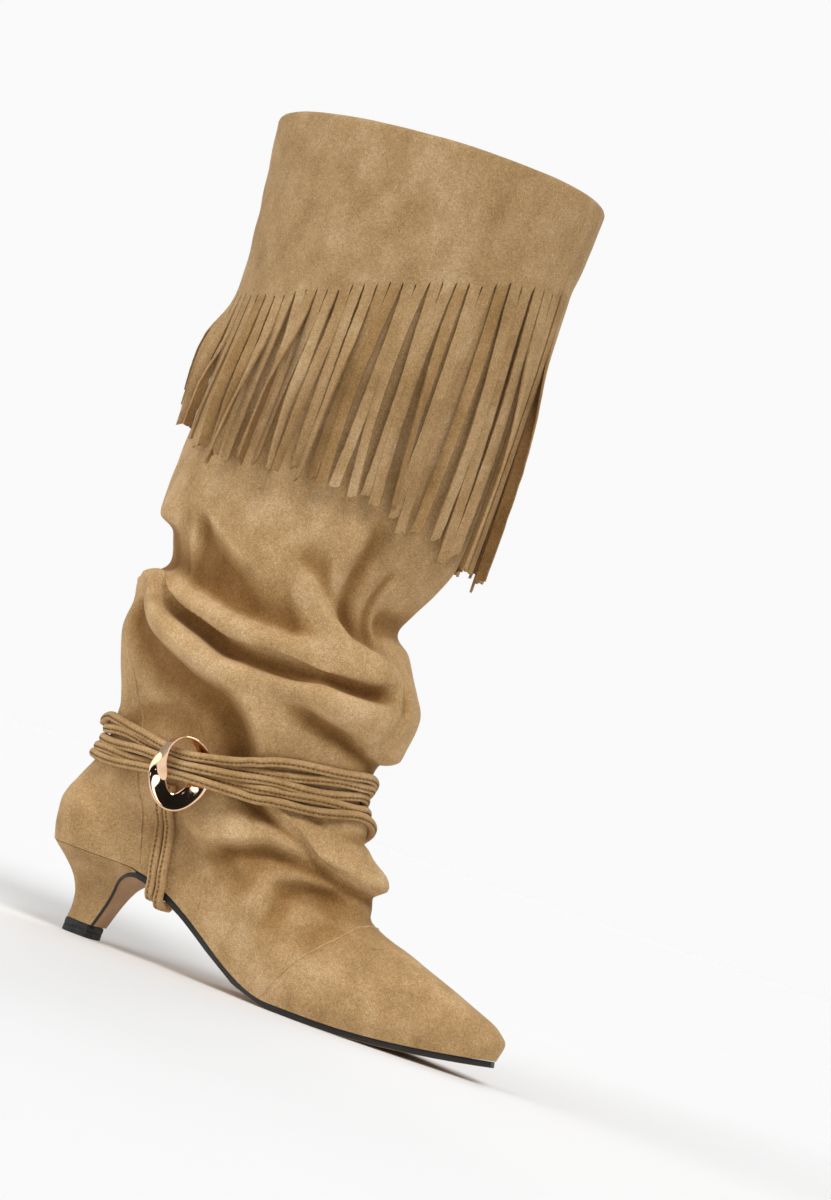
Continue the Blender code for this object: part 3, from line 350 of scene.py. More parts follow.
def end_round(share, radius):
    """The rounding of an outline's end, as a share of its width."""
    return np.sqrt(np.clip(1 - (1 - np.clip(share / radius, 0.0, 1.0)) ** 2, 0.0, 1.0))


def outline_shape(along):
    """Half width and medial drift of the foot's outline, as shares of the half ball width."""
    width = monotone(OUTLINE[:, 0], OUTLINE[:, 1], along)
    width = width * end_round(along, HEEL_ROUND) * end_round(1 - along, TOE_ROUND)
    return width, monotone(OUTLINE[:, 0], OUTLINE[:, 2], along) * smoothstep(0.0, 0.3, along)


def upper_rows():
    """The model's loops from feather to collar: back and front places, half width and foot shape."""
    rows = []
    for back, back_rise, front, front_rise, half, foot, follow in FOOT_LOOPS:
        front_x = front * FOOT_LENGTH - HEEL_OVERHANG
        rows.append((back * FOOT_LENGTH - HEEL_OVERHANG, HEEL_HEIGHT + back_rise * COUNTER_HEIGHT, front_x,
                     float(feather_height(front_x)) + front_rise * INSTEP_HEIGHT, half * BALL_WIDTH / 2,
                     foot, follow))
    span = BOOT_HEIGHT - CUFF_WALL - CUFF_STANDOFF - ANKLE_HEIGHT
    for rise, lift, back, front, half in SHAFT_LOOPS:
        rows.append((SHAFT_CENTRE + back * SHAFT_DEPTH, ANKLE_HEIGHT + rise * span,
                     SHAFT_CENTRE + front * SHAFT_DEPTH, ANKLE_HEIGHT + (rise + lift) * span,
                     half * SHAFT_WIDTH, 0.0, 0.0))
    return np.array(rows)


ROWS = upper_rows()
TOP_LEVEL = len(ROWS) - 1.0


def turn_from(angle, start):
    """The turn from one angle to another, never more than half way round."""
    return (angle - start + math.pi) % (2 * math.pi) - math.pi


def full_turn(count):
    """Even angles once round."""
    return np.arange(count) * 2 * math.pi / count


def walk(points):
    """How far along a line each of its points lies."""
    return np.concatenate([[0], np.cumsum(np.linalg.norm(np.diff(points, axis=0), axis=1))])


def between(at, stations, values):
    """Every column of values, read off straight between its stations."""
    return np.stack([np.interp(at, stations, column) for column in np.transpose(values)], axis=-1)


def eased(line, rounds):
    """A line of points smoothed between its ends."""
    line = line.copy()
    for _ in range(rounds):
        line[1:-1] = (line[:-2] + 2 * line[1:-1] + line[2:]) / 4
    return line


def fold_offset(angle, height):
    """How far the model's own soft folds push the leather out."""
    total = np.zeros(np.broadcast(angle, height).shape)
    for at, share, slope, spread, rise, depth in FOLDS:
        turn = turn_from(angle, math.radians(at))
        across = (height - (share + slope * turn) * BOOT_HEIGHT) / (rise * FOLD_RISE)
        total = total + depth * FOLD_DEPTH * np.exp(-((turn / spread) ** 2) - across**2)
    return total


def soft_surface(levels, angles):
    """The model's own outer face, as a grid of levels by angles."""
    stations = np.arange(len(ROWS))
    level, angle = np.meshgrid(np.asarray(levels, float), np.asarray(angles, float), indexing="ij")
    back_x, back_z, front_x, front_z, half, foot, follow = (
        monotone(stations, ROWS[:, k], level) for k in range(ROWS.shape[1])
    )
    along = (1 - np.cos(angle)) / 2
    x = back_x + (front_x - back_x) * along
    width, drift = outline_shape(along)
    side = -np.sign(np.sin(angle))
    y = half * (foot * (side * width + drift) - (1 - foot) * np.sin(angle))
    low_back, low_front = feather_height(back_x), feather_height(front_x)
    dip = feather_height(x) - (low_back + (low_front - low_back) * along)
    z = back_z + (front_z - back_z) * along + follow * dip
    out = fold_offset(angle, z) * smoothstep(0.5, 4.0, level)
    return np.stack([x - out * np.cos(angle), y - out * np.sin(angle), z], axis=-1)


def grid_normals(points):
    """The normal at each point of a closed grid."""
    around = np.roll(points, -1, axis=1) - np.roll(points, 1, axis=1)
    normal = np.cross(around, np.gradient(points, axis=0))
    return normal / np.maximum(np.linalg.norm(normal, axis=-1, keepdims=True), 1e-12)


def wave(distance, up, down):
    """1 on the line, falling off over one reach above it and another below it."""
    return np.exp(-((distance / np.where(distance > 0, up, down)) ** 2))


def crease_shifts(angle, height):
    """How far the creases push the leather out, and drag it up, in metres."""
    out = np.zeros(angle.shape)
    drag = np.zeros(angle.shape)
    degrees = np.degrees(angle)
    for _, line, waves in CREASES:
        line = np.array(line, float)
        middle = (line[0, 0] + line[-1, 0]) / 2
        turned = middle + (degrees - middle + 180) % 360 - 180
        centre = monotone(line[:, 0], line[:, 1], turned) / 1000
        ahead = monotone(line[:, 0], line[:, 1], turned + 1.0) / 1000
        slope = (ahead - centre) / (CREASE_RADIUS * math.radians(1.0))
        across = (height - centre) / np.sqrt(1 + slope**2)
        fade = min(LINE_FADE, (line[-1, 0] - line[0, 0]) * LINE_FADE_SHARE)
        along = smoothstep(line[0, 0] - 3, line[0, 0] + fade, turned)
        along = along * (1 - smoothstep(line[-1, 0] - fade, line[-1, 0] + 3, turned))
        for offset, push, up, down, pull in waves:
            shape = along * wave(across - offset / 1000, up / 1000, down / 1000)
            out += push / 1000 * shape
            drag += pull / 1000 * shape
    for _, line, waves in UPRIGHTS:
        line = np.array(line, float)
        centre = monotone(line[:, 0], line[:, 1], height * 1000)
        along = smoothstep(line[0, 0] - 6, line[0, 0] + 8, height * 1000)
        along = along * (1 - smoothstep(line[-1, 0] - 10, line[-1, 0] + 8, height * 1000))
        turned = centre + (degrees - centre + 180) % 360 - 180
        across = np.radians(turned - centre) * CREASE_RADIUS
        for offset, push, ahead, behind in waves:
            out += push / 1000 * along * wave(across - offset / 1000, ahead / 1000, behind / 1000)
    return out, drag


def ripple(points, scale, seed):
    """A smooth, repeatable unevenness, mostly between -1 and 1, from a few crossing waves."""
    draw = np.random.default_rng(seed)
    total = np.zeros(points.shape[:-1])
    for _ in range(7):
        way = draw.normal(size=3)
        way *= draw.uniform(0.6, 1.5) / np.linalg.norm(way) * 2 * math.pi / scale
        total += np.sin(points @ way + draw.uniform(0, 2 * math.pi))
    return total / 4.0


def unevenness(points, waves):
    """How far the leather's unevenness pushes it out at each point."""
    return sum(height * ripple(points, scale, seed) for height, scale, seed in waves)


def creased_surface(levels, angles):
    """The soft surface with the creases on it, and the creases' push, for the suede's painted shade."""
    soft = soft_surface(levels, angles)
    normal = grid_normals(soft)
    up = np.gradient(soft, axis=0)
    up /= np.maximum(np.linalg.norm(up, axis=-1, keepdims=True), 1e-12)
    level, angle = np.meshgrid(levels, angles, indexing="ij")
    out, drag = crease_shifts(angle, soft[..., 2])
    hold = smoothstep(1.6, 4.0, level) * (1 - smoothstep(12.6, 13.6, level))
    out = out * hold
    drag = drag * hold
    quiet = 0.25 + 0.75 * smoothstep(3.5, 6.0, level)
    out_all = out + unevenness(soft, UPPER_UNEVEN) * quiet * smoothstep(0.0, 0.8, level)
    return soft + out_all[..., None] * normal + drag[..., None] * up, out


def level_stations(counts):
    """Levels up the boot, with so many steps between each loop and the next."""
    levels = [0.0]
    for row, count in enumerate(counts):
        levels += [row + (k + 1) / count for k in range(count)]
    return np.array(levels)


def round_table(table, column, angles):
    """One column of a table that runs once round by angle."""
    rows = np.array(table, float)
    turned = np.degrees(angles) % 360
    stations = np.concatenate([rows[:-1, 0] - 360, rows[:, 0], rows[1:, 0] + 360])
    values = np.concatenate([rows[:-1, column], rows[:, column], rows[1:, column]])
    return monotone(stations, values, turned)


def new_piece(name, verts, faces, material, slot, replaced=(), sharp=50):
    """A mesh piece that rides on the boot's one body."""
    mesh = bpy.data.meshes.new(name)
    mesh.from_pydata([tuple(v) for v in verts], [], faces)
    mesh.validate()
    work = bmesh.new()
    work.from_mesh(mesh)
    bmesh.ops.recalc_face_normals(work, faces=work.faces)
    work.to_mesh(mesh)
    work.free()
    mesh.shade_smooth()
    mesh.set_sharp_from_angle(angle=math.radians(sharp))
    piece = bpy.data.objects.new(name, mesh)
    bpy.context.scene.collection.objects.link(piece)
    for one in material if isinstance(material, list) else [material]:
        mesh.materials.append(one)
    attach(piece, "root")
    if replaced:
        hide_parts(*replaced)
    return piece


def ring_faces(count, low, high):
    """Quads between two rings of vertices, given each ring's first index."""
    return [(low + i, low + (i + 1) % count, high + (i + 1) % count, high + i) for i in range(count)]


def grid_faces(rows, columns, base=0):
    """Quads over a grid that closes round each row, given its first index."""
    faces = []
    for low in range(base, base + (rows - 1) * columns, columns):
        faces += ring_faces(columns, low, low + columns)
    return faces


def loft_rings(rings, caps=True, closed=False):
    """Vertices and faces of a skin over equal rings."""
    count = len(rings[0])
    verts = [p for ring in rings for p in ring]
    last = (len(rings) - 1) * count
    faces = grid_faces(len(rings), count)
    if closed:
        faces += ring_faces(count, last, 0)
    elif caps:
        faces.append(tuple(range(count))[::-1])
        faces.append(tuple(range(last, last + count)))
    return verts, faces


def gather(parts):
    """Vertices and faces of several parts as one mesh's."""
    verts, faces = [], []
    for part_verts, part_faces in parts:
        base = len(verts)
        verts += part_verts
        faces += [tuple(i + base for i in face) for face in part_faces]
    return verts, faces


class Tree:
    """Short calls for building a node tree."""

    def __init__(self, tree):
        self.tree = tree

    def add(self, kind, **settings):
        node = self.tree.nodes.new(kind)
        for key, value in settings.items():
            setattr(node, key, value)
        return node

    def link(self, source, target):
        self.tree.links.new(source, target)

    def feed(self, sockets, values):
        """Links or sets each socket."""
        for socket, value in zip(sockets, values):
            if isinstance(value, (int, float)):
                socket.default_value = value
            elif isinstance(value, tuple):
                socket.default_value = (*value, 1.0)
            else:
                self.link(value, socket)

    def ramp(self, source, stops):
        node = self.add("ShaderNodeValToRGB")
        while len(node.color_ramp.elements) < len(stops):
            node.color_ramp.elements.new(0.5)
        for element, (position, colour) in zip(node.color_ramp.elements, stops):
            element.position = position
            element.color = (*colour, 1.0)
        self.link(source, node.inputs["Fac"])
        return node.outputs["Color"]

    def math(self, operation, *values):
        node = self.add("ShaderNodeMath", operation=operation)
        self.feed(node.inputs, values)
        return node.outputs["Value"]


class Nodes(Tree):
    """The same for a material, with its shader and the texture nodes that sit in the object's own space."""

    def __init__(self, name):
        self.material = bpy.data.materials.new(name)
        self.material.use_nodes = True
        super().__init__(self.material.node_tree)
        self.shader = self.tree.nodes["Principled BSDF"]
        self.place = self.add("ShaderNodeTexCoord").outputs["Object"]

    def noise(self, scale, detail=3.0, rough=0.5, distort=0.0, stretch=None):
        node = self.add("ShaderNodeTexNoise")
        node.inputs["Scale"].default_value = scale
        node.inputs["Detail"].default_value = detail
        node.inputs["Roughness"].default_value = rough
        node.inputs["Distortion"].default_value = distort
        where = self.place
        if stretch:
            mapping = self.add("ShaderNodeMapping")
            mapping.inputs["Scale"].default_value = stretch
            self.link(where, mapping.inputs["Vector"])
            where = mapping.outputs["Vector"]
        self.link(where, node.inputs["Vector"])
        return node.outputs["Fac"]

    def times(self, first, second):
        """One colour multiplied by another."""
        node = self.add("ShaderNodeMix", data_type="RGBA", blend_type="MULTIPLY")
        self.feed((node.inputs[0], node.inputs[6], node.inputs[7]), (1.0, first, second))
        return node.outputs[2]

    def bump(self, height, distance, strength, under=None):
        node = self.add("ShaderNodeBump")
        node.inputs["Strength"].default_value = strength
        node.inputs["Distance"].default_value = distance
        self.link(height, node.inputs["Height"])
        if under is not None:
            self.link(under, node.inputs["Normal"])
        return node.outputs["Normal"]

    def finish(self, colour, normal, **values):
        """Sets the shader's colour, normal and constants, and returns the material."""
        self.link(colour, self.shader.inputs["Base Color"])
        self.link(normal, self.shader.inputs["Normal"])
        for key, value in values.items():
            self.shader.inputs[key.replace("_", " ")].default_value = value
        return self.material


SUEDE_DARK = (0.240, 0.138, 0.049)
SUEDE_MID = (0.470, 0.298, 0.139)
SUEDE_LIGHT = (0.640, 0.452, 0.262)
# What the single fibres multiply the suede's colour by, and what the folds do: painted shade deep in the
# creases, and ridges lighter, partly as rubbed suede and partly as painted light
FIBRE_SHADES = ((0.32, (0.64, 0.61, 0.54)), (0.52, (1.0, 1.0, 1.0)), (0.74, (1.30, 1.30, 1.32)))
CREASE_SHADE_AND_RIDGE_LIGHT = ((0.0, (0.48, 0.37, 0.24)), (0.36, (0.79, 0.72, 0.60)), (0.5, (1.0, 1.0, 1.0)),
               (0.66, (1.05, 1.05, 1.07)), (1.0, (1.12, 1.14, 1.18)))


def suede(name, tone, folded=False):
    """Napped suede: cloudy where the nap lies in different ways, speckled close up, with a soft sheen."""
    n = Nodes(name)
    clouds = n.noise(22, 3.0, 0.50, 0.15)
    brushed = n.noise(75, 3.0, 0.55, 0.2, (1, 1, 0.7))
    flecks = n.noise(640, 2.0, 0.55)
    fibre = n.noise(1900, 2.0, 0.65)
    mottle = n.math("ADD", n.math("MULTIPLY", clouds, 0.36), n.math("MULTIPLY", brushed, 0.36))
    mottle = n.math("ADD", mottle, n.math("MULTIPLY", flecks, 0.28))
    dark, mid, light = (tuple(c * tone for c in shade) for shade in (SUEDE_DARK, SUEDE_MID, SUEDE_LIGHT))
    low_mid = tuple(a * 0.45 + b * 0.55 for a, b in zip(mid, dark))
    high_mid = tuple(a * 0.35 + b * 0.65 for a, b in zip(mid, light))
    colour = n.ramp(mottle, ((0.36, low_mid), (0.50, mid), (0.63, high_mid)))
    colour = n.times(colour, n.ramp(fibre, FIBRE_SHADES))
    # Painted shade from the fold attribute: darker deep in the creases, lighter on the ridges
    if folded:
        fold = n.add("ShaderNodeAttribute", attribute_name="fold").outputs["Fac"]
        colour = n.times(colour, n.ramp(fold, CREASE_SHADE_AND_RIDGE_LIGHT))
    coarse = n.bump(n.noise(420, 3.0, 0.6, 0.3), 0.00035, 0.60)
    return n.finish(colour, n.bump(fibre, 0.00022, 0.75, coarse), Roughness=0.95, Specular_IOR_Level=0.15,
                    Sheen_Weight=0.16, Sheen_Roughness=0.4, Sheen_Tint=(0.95, 0.80, 0.60, 1.0))


def plain_leather(name, colour, rough, grain, depth=0.0001):
    """Smooth leather with a faint grain, a little lighter and darker by patches."""
    n = Nodes(name)
    dark = tuple(c * 0.76 for c in colour)
    light = tuple(min(c * 1.192, 1.0) for c in colour)
    shade = n.ramp(n.noise(45, 4.0, 0.6), ((0.32, dark), (0.52, colour), (0.70, light)))
    uneven = n.ramp(n.noise(160, 3.0), ((0.3, (rough * 0.8,) * 3), (0.7, (min(rough * 1.25, 1.0),) * 3)))
    n.link(uneven, n.shader.inputs["Roughness"])
    return n.finish(shade, n.bump(n.noise(grain, 3.0, 0.6), depth, 0.6))


def sole_leather(name):
    """Smooth tan leather, a little worn and scratched along its length."""
    n = Nodes(name)
    colour = n.ramp(n.noise(30, 4.0, 0.6), ((0.30, (0.40, 0.215, 0.085)), (0.52, (0.52, 0.30, 0.13)),
                                            (0.72, (0.60, 0.37, 0.18))))
    lines = n.noise(700, 2.0, 0.5, 0.0, (0.06, 1, 1))
    colour = n.times(colour, n.ramp(lines, ((0.35, (0.86, 0.85, 0.84)), (0.55, (1, 1, 1)))))
    return n.finish(colour, n.bump(n.noise(420, 3.0), 0.00006, 0.5), Roughness=0.55)


def rubber(name):
    """Matt black rubber with a fine speck."""
    n = Nodes(name)
    speck = n.ramp(n.noise(600, 3.0), ((0.4, (0.010, 0.010, 0.011)), (0.7, (0.026, 0.026, 0.028))))
    return n.finish(speck, n.bump(n.noise(900, 2.0), 0.00006, 0.5), Roughness=0.62)


def rose_gold(name):
    """Polished rose-gold plating with faint handling marks."""
    n = Nodes(name)
    colour = n.ramp(n.noise(120, 3.0), ((0.35, (0.90, 0.60, 0.38)), (0.65, (0.95, 0.67, 0.46))))
    marks = n.ramp(n.noise(900, 2.0, 0.5, 0.0, (1, 1, 0.1)), ((0.45, (0.03,) * 3), (0.8, (0.10,) * 3)))
    n.link(marks, n.shader.inputs["Roughness"])
    return n.finish(colour, n.bump(n.noise(60, 2.0), 0.0001, 0.2), Metallic=1.0)


def thread(name, colour):
    """Twisted sewing thread."""
    n = Nodes(name)
    twist = n.noise(1600, 2.0)
    shade = n.ramp(twist, ((0.35, tuple(c * 0.7 for c in colour)), (0.65, colour)))
    return n.finish(shade, n.bump(twist, 0.0001, 0.6), Roughness=0.75)


UPPER_SUEDE = suede("upper_suede", 1.10, folded=True)
FRINGE_SUEDE = suede("fringe_suede", 0.94, folded=True)
CORD_SUEDE = suede("cord_suede", 1.10, folded=True)
HEEL_SUEDE = suede("heel_suede", 1.02)
# A touch lighter than the upper's suede: a painted highlight along the lapped seam edges
SEAM_SUEDE = suede("seam_suede", 1.12)
STRAP_SUEDE = suede("strap_suede", 1.10)
THREAD = thread("cord_thread", (0.140, 0.080, 0.030))
LINING = plain_leather("lining_leather", (0.47, 0.36, 0.25), 0.6, 260)
SOLE_EDGE = plain_leather("sole_edge", (0.012, 0.011, 0.010), 0.42, 500, 0.00008)
SOLE = sole_leather("sole_leather")
RUBBER = rubber("black_rubber")
ROSE_GOLD = rose_gold("rose_gold")


def shade_attribute(mesh, values):
    """Stores how far a place stands out, 0 deep in a crease, 0.5 plain, 1 on a ridge: the suede reads it to
    paint shade into the creases and lighten the ridges.
    """
    layer = mesh.attributes.new("fold", "FLOAT", "POINT")
    layer.data.foreach_set("value", np.clip(values, 0.0, 1.0).astype(np.float32))


UPPER_COUNTS = (6, 6, 10, 8, 8, 8, 7, 6, 10, 16, 38, 36, 32, 18, 6, 6)
UPPER_COLUMNS = 320
FINDER_COUNTS = (3, 3, 5, 6, 6, 6, 6, 6, 8, 10, 24, 20, 16, 10, 4, 6)
FINDER_COLUMNS = 240


def lowest_nearby(values, up, around):
    """Each value lowered to the least one near it, then eased."""
    least = values.copy()
    for r in range(-up, up + 1):
        rows = np.clip(np.arange(len(values)) + r, 0, len(values) - 1)
        least = np.minimum(least, values[rows])
    spread = least.copy()
    for c in range(-around, around + 1):
        spread = np.minimum(spread, np.roll(least, c, axis=1))
    for _ in range(3):
        rows = np.clip(np.arange(len(values))[:, None] + [-1, 0, 1], 0, len(values) - 1)
        spread = np.minimum(spread[rows].mean(axis=1), spread + 0.0004)
        spread = (np.roll(spread, 1, axis=1) + spread + np.roll(spread, -1, axis=1)) / 3
    return spread


def hollow_side(outer, soft, depth):
    """A face a depth inside the leather, kept clear of the creases' bottoms."""
    normal = grid_normals(soft)
    push = np.sum((outer - soft) * normal, axis=-1)
    return soft + (lowest_nearby(push, 6, 4) - depth)[..., None] * normal


def make_upper():
    """The suede upper: a fine outer face, a coarser inner face, joined at the feather and the top edge."""
    angles = full_turn(UPPER_COLUMNS)
    levels = level_stations(UPPER_COUNTS)
    outer, push = creased_surface(levels, angles)
    soft = soft_surface(levels, angles)
    keep = list(range(0, len(levels), 2))
    if keep[-1] != len(levels) - 1:
        keep.append(len(levels) - 1)
    inner = hollow_side(outer, soft, LEATHER)[keep][:, ::2]
    rows, columns = outer.shape[:2]
    inner_rows, inner_columns = inner.shape[:2]
    verts = np.concatenate([outer.reshape(-1, 3), inner.reshape(-1, 3)])
    base = rows * columns
    faces = grid_faces(rows, columns)
    faces += [face[::-1] for face in grid_faces(inner_rows, inner_columns, base)]
    for outer_row, inner_row in ((0, 0), (rows - 1, inner_rows - 1)):
        low = base + inner_row * inner_columns
        for i in range(inner_columns):
            edge = [outer_row * columns + (2 * i + k) % columns for k in range(3)]
            faces.append((*edge, low + (i + 1) % inner_columns, low + i))
    piece = new_piece("upper_suede", verts, faces, UPPER_SUEDE, "suede", ("upper",), sharp=80)
    # The creases' push, kept as painted shade for the suede: darker in the creases, lighter on the ridges
    shade = 0.5 + push / SHADE_SPAN
    shade_attribute(piece.data, np.concatenate([shade.reshape(-1), np.full(inner_rows * inner_columns, 0.5)]))
    near = hollow_side(outer, soft, LEATHER + LINING_GAP)[keep][:, ::4]
    far = hollow_side(outer, soft, LEATHER + LINING_DEPTH)[keep][:, ::4]
    verts, faces = loft_rings([*near[::2], near[-1], far[-1], *far[::2][::-1]], closed=True)
    new_piece("upper_lining", verts, faces, LINING, "lining", sharp=70)


def wall_finder():
    """A tree of the creased surface for rays and nearest points."""
    grid, _ = creased_surface(level_stations(FINDER_COUNTS), full_turn(FINDER_COLUMNS))
    return BVHTree.FromPolygons([tuple(p) for p in grid.reshape(-1, 3)], grid_faces(*grid.shape[:2]))


def soft_wall(angles, heights):
    """The model's outer face at angles and heights, and the level way out from it."""
    angles, heights = np.broadcast_arrays(np.asarray(angles, float), np.asarray(heights, float))
    levels = np.linspace(0, TOP_LEVEL, 241)

    def at(turned):
        grid = soft_surface(levels, turned)
        return np.array([[np.interp(h, grid[:, i, 2], grid[:, i, k]) for k in (0, 1)]
                         for i, h in enumerate(heights)])

    here, before, after = at(angles), at(angles - 0.01), at(angles + 0.01)
    along = after - before
    outward = np.stack([along[:, 1], -along[:, 0]], axis=-1)
    outward /= np.linalg.norm(outward, axis=-1, keepdims=True)
    points = np.concatenate([here, heights[:, None]], axis=1)
    return points, np.concatenate([outward, np.zeros((len(heights), 1))], axis=1)


def creased_wall(tree, angles, heights):
    """The outermost leather met from outside, at angles and heights."""
    points, outward = soft_wall(angles, heights)
    found = []
    for point, way in zip(points, outward):
        start = Vector(point + 0.06 * way)
        hit, _, _, _ = tree.ray_cast(start, Vector(-way))
        found.append(np.array(hit) if hit is not None else point)
    return np.array(found), outward


def push_clear(tree, points, distance, rounds):
    """Moves points away from the leather until each is at least a distance from it."""
    points = np.array(points, float)
    for _ in range(rounds):
        for i, p in enumerate(points):
            near, normal, _, _ = tree.find_nearest(Vector(p))
            away = np.array(p) - np.array(near)
            side = float(np.dot(away, np.array(normal)))
            gap = np.linalg.norm(away) * (1 if side >= 0 else -1)
            if gap < distance:
                points[i] = p + (distance - gap) * np.array(normal)
    return points


def even_angles(shares):
    """Angles at shares of the rim's length, and that length."""
    fine = np.linspace(0, 2 * math.pi, 721)
    walked = walk(soft_surface([TOP_LEVEL], fine)[0])
    return np.interp((np.asarray(shares, float) % 1.0) * walked[-1], walked, fine), walked[-1]


STRIP_COLUMNS = 4
STRIP_ROWS = 26
FACING_ROWS = 10
ROLL_ROWS = 7
BAND_ROWS = 26
# Shares of the strips: those that hang nearly flat, then with those that turn a little; the rest turn edge on
FLAT_STRIPS = 0.46
TURNED_STRIPS = 0.76


def cuff_grid(angles, band):
    """The inner face of the cuff's leather: up its facing, over the rim and down its band."""
    hook = CUFF_STANDOFF + CUFF_WALL
    inside = CUFF_INSIDE + CUFF_STANDOFF
    shoulder = hook * 1.4
    reach, middle = (inside + CUFF_STANDOFF) / 2, (CUFF_STANDOFF - inside) / 2

    def ring(drops, out):
        drops = np.broadcast_to(np.asarray(drops, float), angles.shape)
        points, outward = soft_wall(angles, np.minimum(BOOT_HEIGHT - drops, BOOT_HEIGHT - hook))
        points[:, 2] = BOOT_HEIGHT - drops
        return points + out * outward

    rings = [ring(shoulder + (CUFF_FACING - shoulder) * share, -inside)
             for share in np.linspace(1.0, 0.0, FACING_ROWS)]
    rings += [ring(shoulder - 0.0020 * math.sin(math.pi * turn), middle - reach * math.cos(math.pi * turn))
              for turn in np.linspace(0.12, 0.88, ROLL_ROWS)]
    rings += [ring(shoulder + (band - shoulder) * share, CUFF_STANDOFF)
              for share in np.linspace(0.0, 1.0, BAND_ROWS)]
    return np.array(rings)


def strip_rows(draw, number, turned, length, top_out, top_in):
    """Rows of points down one hanging strip, outer and inner, and the strip's own shade."""
    middle = (top_out.mean(axis=0) + top_in.mean(axis=0)) / 2
    across = top_out[-1] - top_out[0]
    width = np.linalg.norm(across)
    across = across / width
    facing = np.array([across[1], -across[0], 0.0])
    facing /= np.linalg.norm(facing)
    if np.dot(facing[:2], middle[:2] - [SHAFT_CENTRE, 0]) < 0:
        facing = -facing
    kind = draw.uniform()
    if kind < FLAT_STRIPS:
        twist = draw.normal(0, 8)
    elif kind < TURNED_STRIPS:
        twist = draw.normal(0, 30)
    else:
        twist = draw.choice([-1, 1]) * draw.uniform(48, 92)
    start = draw.uniform(0.04, 0.28)
    lean = draw.normal(0, 0.0024) + 0.0016 * math.sin(number * 0.9)
    bow = draw.normal(0, 0.0018)
    lift = abs(draw.normal(0, 0.0016)) + (0.0022 if abs(twist) > 40 else 0)
    reach = length * (1 + draw.normal(0, 0.014))
    skew = draw.normal(0, 0.0007)
    shade = 0.5 + draw.normal(0, 0.07)
    places = np.linspace(-1, 1, STRIP_COLUMNS + 1)
    rows = []
    for s in range(1, STRIP_ROWS + 1):
        t = s / STRIP_ROWS
        height = middle[2] - reach * t
        wall, _ = soft_wall([turned], [height])
        swell = max(float(np.dot(wall[0] - middle, facing)) + CUFF_STANDOFF, 0.0)
        turn = math.radians(twist) * float(smoothstep(start, start + 0.55, t))
        free = float(smoothstep(0.02, 0.5, t))
        clear = abs(math.sin(turn)) * width * 0.5
        out = swell + FRINGE_FLARE * 0.6 * t + lift * math.sin(math.pi * t * 0.8) + clear
        centre = np.array([middle[0], middle[1], height]) + facing * out
        centre = centre + across * (lean * t * free + bow * math.sin(math.pi * t))
        wide = math.cos(turn) * across + math.sin(turn) * facing
        thin = -math.sin(turn) * across + math.cos(turn) * facing
        half = width / 2 * (1 - 0.05 * t)
        cup = 0.0005 * math.sin(math.pi * t)
        line = []
        for place in places:
            ragged = draw.normal(0, 0.00010) if abs(place) == 1 else 0.0
            fray = (draw.normal(0, 0.0006) + skew * place) if s == STRIP_ROWS else 0.0
            line.append(centre + wide * (half * place + ragged) - thin * cup * place**2 + [0, 0, fray])
        rows.append([at + side * thin * CUFF_WALL / 2 for side in (1, -1) for at in line])
    return rows, shade


def make_cuff(draw):
    """The turned-down cuff, its fold, its facing inside and the fringe cut into its lower part."""
    marks = np.arange(STRIPS)
    per = STRIP_COLUMNS + 1
    _, rim = even_angles(0.0)
    half_slit = SLIT_WIDTH / 2 / rim
    shares = [np.linspace(k / STRIPS + half_slit, (k + 1) / STRIPS - half_slit, per) for k in marks]
    angles, _ = even_angles(np.concatenate(shares))
    columns = len(angles)
    band = CUFF_BAND * round_table(CUFF_ROUND, 1, angles)
    inner = cuff_grid(angles, band + np.repeat(draw.uniform(-CUFF_JITTER, CUFF_JITTER, STRIPS), per))
    rows = len(inner)
    normal = grid_normals(inner)
    outward = np.mean(normal[-3, :, :2] * (inner[-3, :, :2] - [SHAFT_CENTRE, 0])) > 0
    normal = normal * (1.0 if outward else -1.0)
    below_rim = smoothstep(0, 6, np.arange(rows) - 12)[:, None]
    outer = inner + (CUFF_WALL + unevenness(inner, CUFF_UNEVEN) * below_rim)[..., None] * normal
    verts = [*outer.reshape(-1, 3), *inner.reshape(-1, 3)]
    base = rows * columns
    last = base - columns
    faces = grid_faces(rows, columns) + [f[::-1] for f in grid_faces(rows, columns, base)]
    faces += ring_faces(columns, base, 0)
    for k in range(STRIPS):
        a = last + k * per + STRIP_COLUMNS
        b = last + ((k + 1) * per) % columns
        faces.append((a, b, base + b, base + a))
    middles, _ = even_angles((marks + 0.5) / STRIPS)
    lengths = FRINGE_LENGTH * round_table(CUFF_ROUND, 2, middles)
    shades = [0.5] * len(verts)
    for k in range(STRIPS):
        own = slice(k * per, k * per + per)
        below, shade = strip_rows(draw, k, middles[k], lengths[k], outer[-1, own], inner[-1, own])
        front = [last + k * per + c for c in range(per)]
        back = [base + i for i in front]
        for line in below:
            first = len(verts)
            verts += line
            # Painted shade: each strip's back, which faces the shaft, is painted darker than its front
            shades += [shade + 0.02] * per + [shade - 0.20] * per
            new_front = list(range(first, first + per))
            new_back = list(range(first + per, first + 2 * per))
            for c in range(per - 1):
                faces.append((front[c], front[c + 1], new_front[c + 1], new_front[c]))
                faces.append((back[c + 1], back[c], new_back[c], new_back[c + 1]))
            faces.append((back[0], front[0], new_front[0], new_back[0]))
            faces.append((front[-1], back[-1], new_back[-1], new_front[-1]))
            front, back = new_front, new_back
        for c in range(per - 1):
            faces.append((front[c], front[c + 1], back[c + 1], back[c]))
    piece = new_piece("cuff_and_fringe", verts, faces, FRINGE_SUEDE, "suede", ("cuff_fringe",), sharp=48)
    shade_attribute(piece.data, np.array(shades))


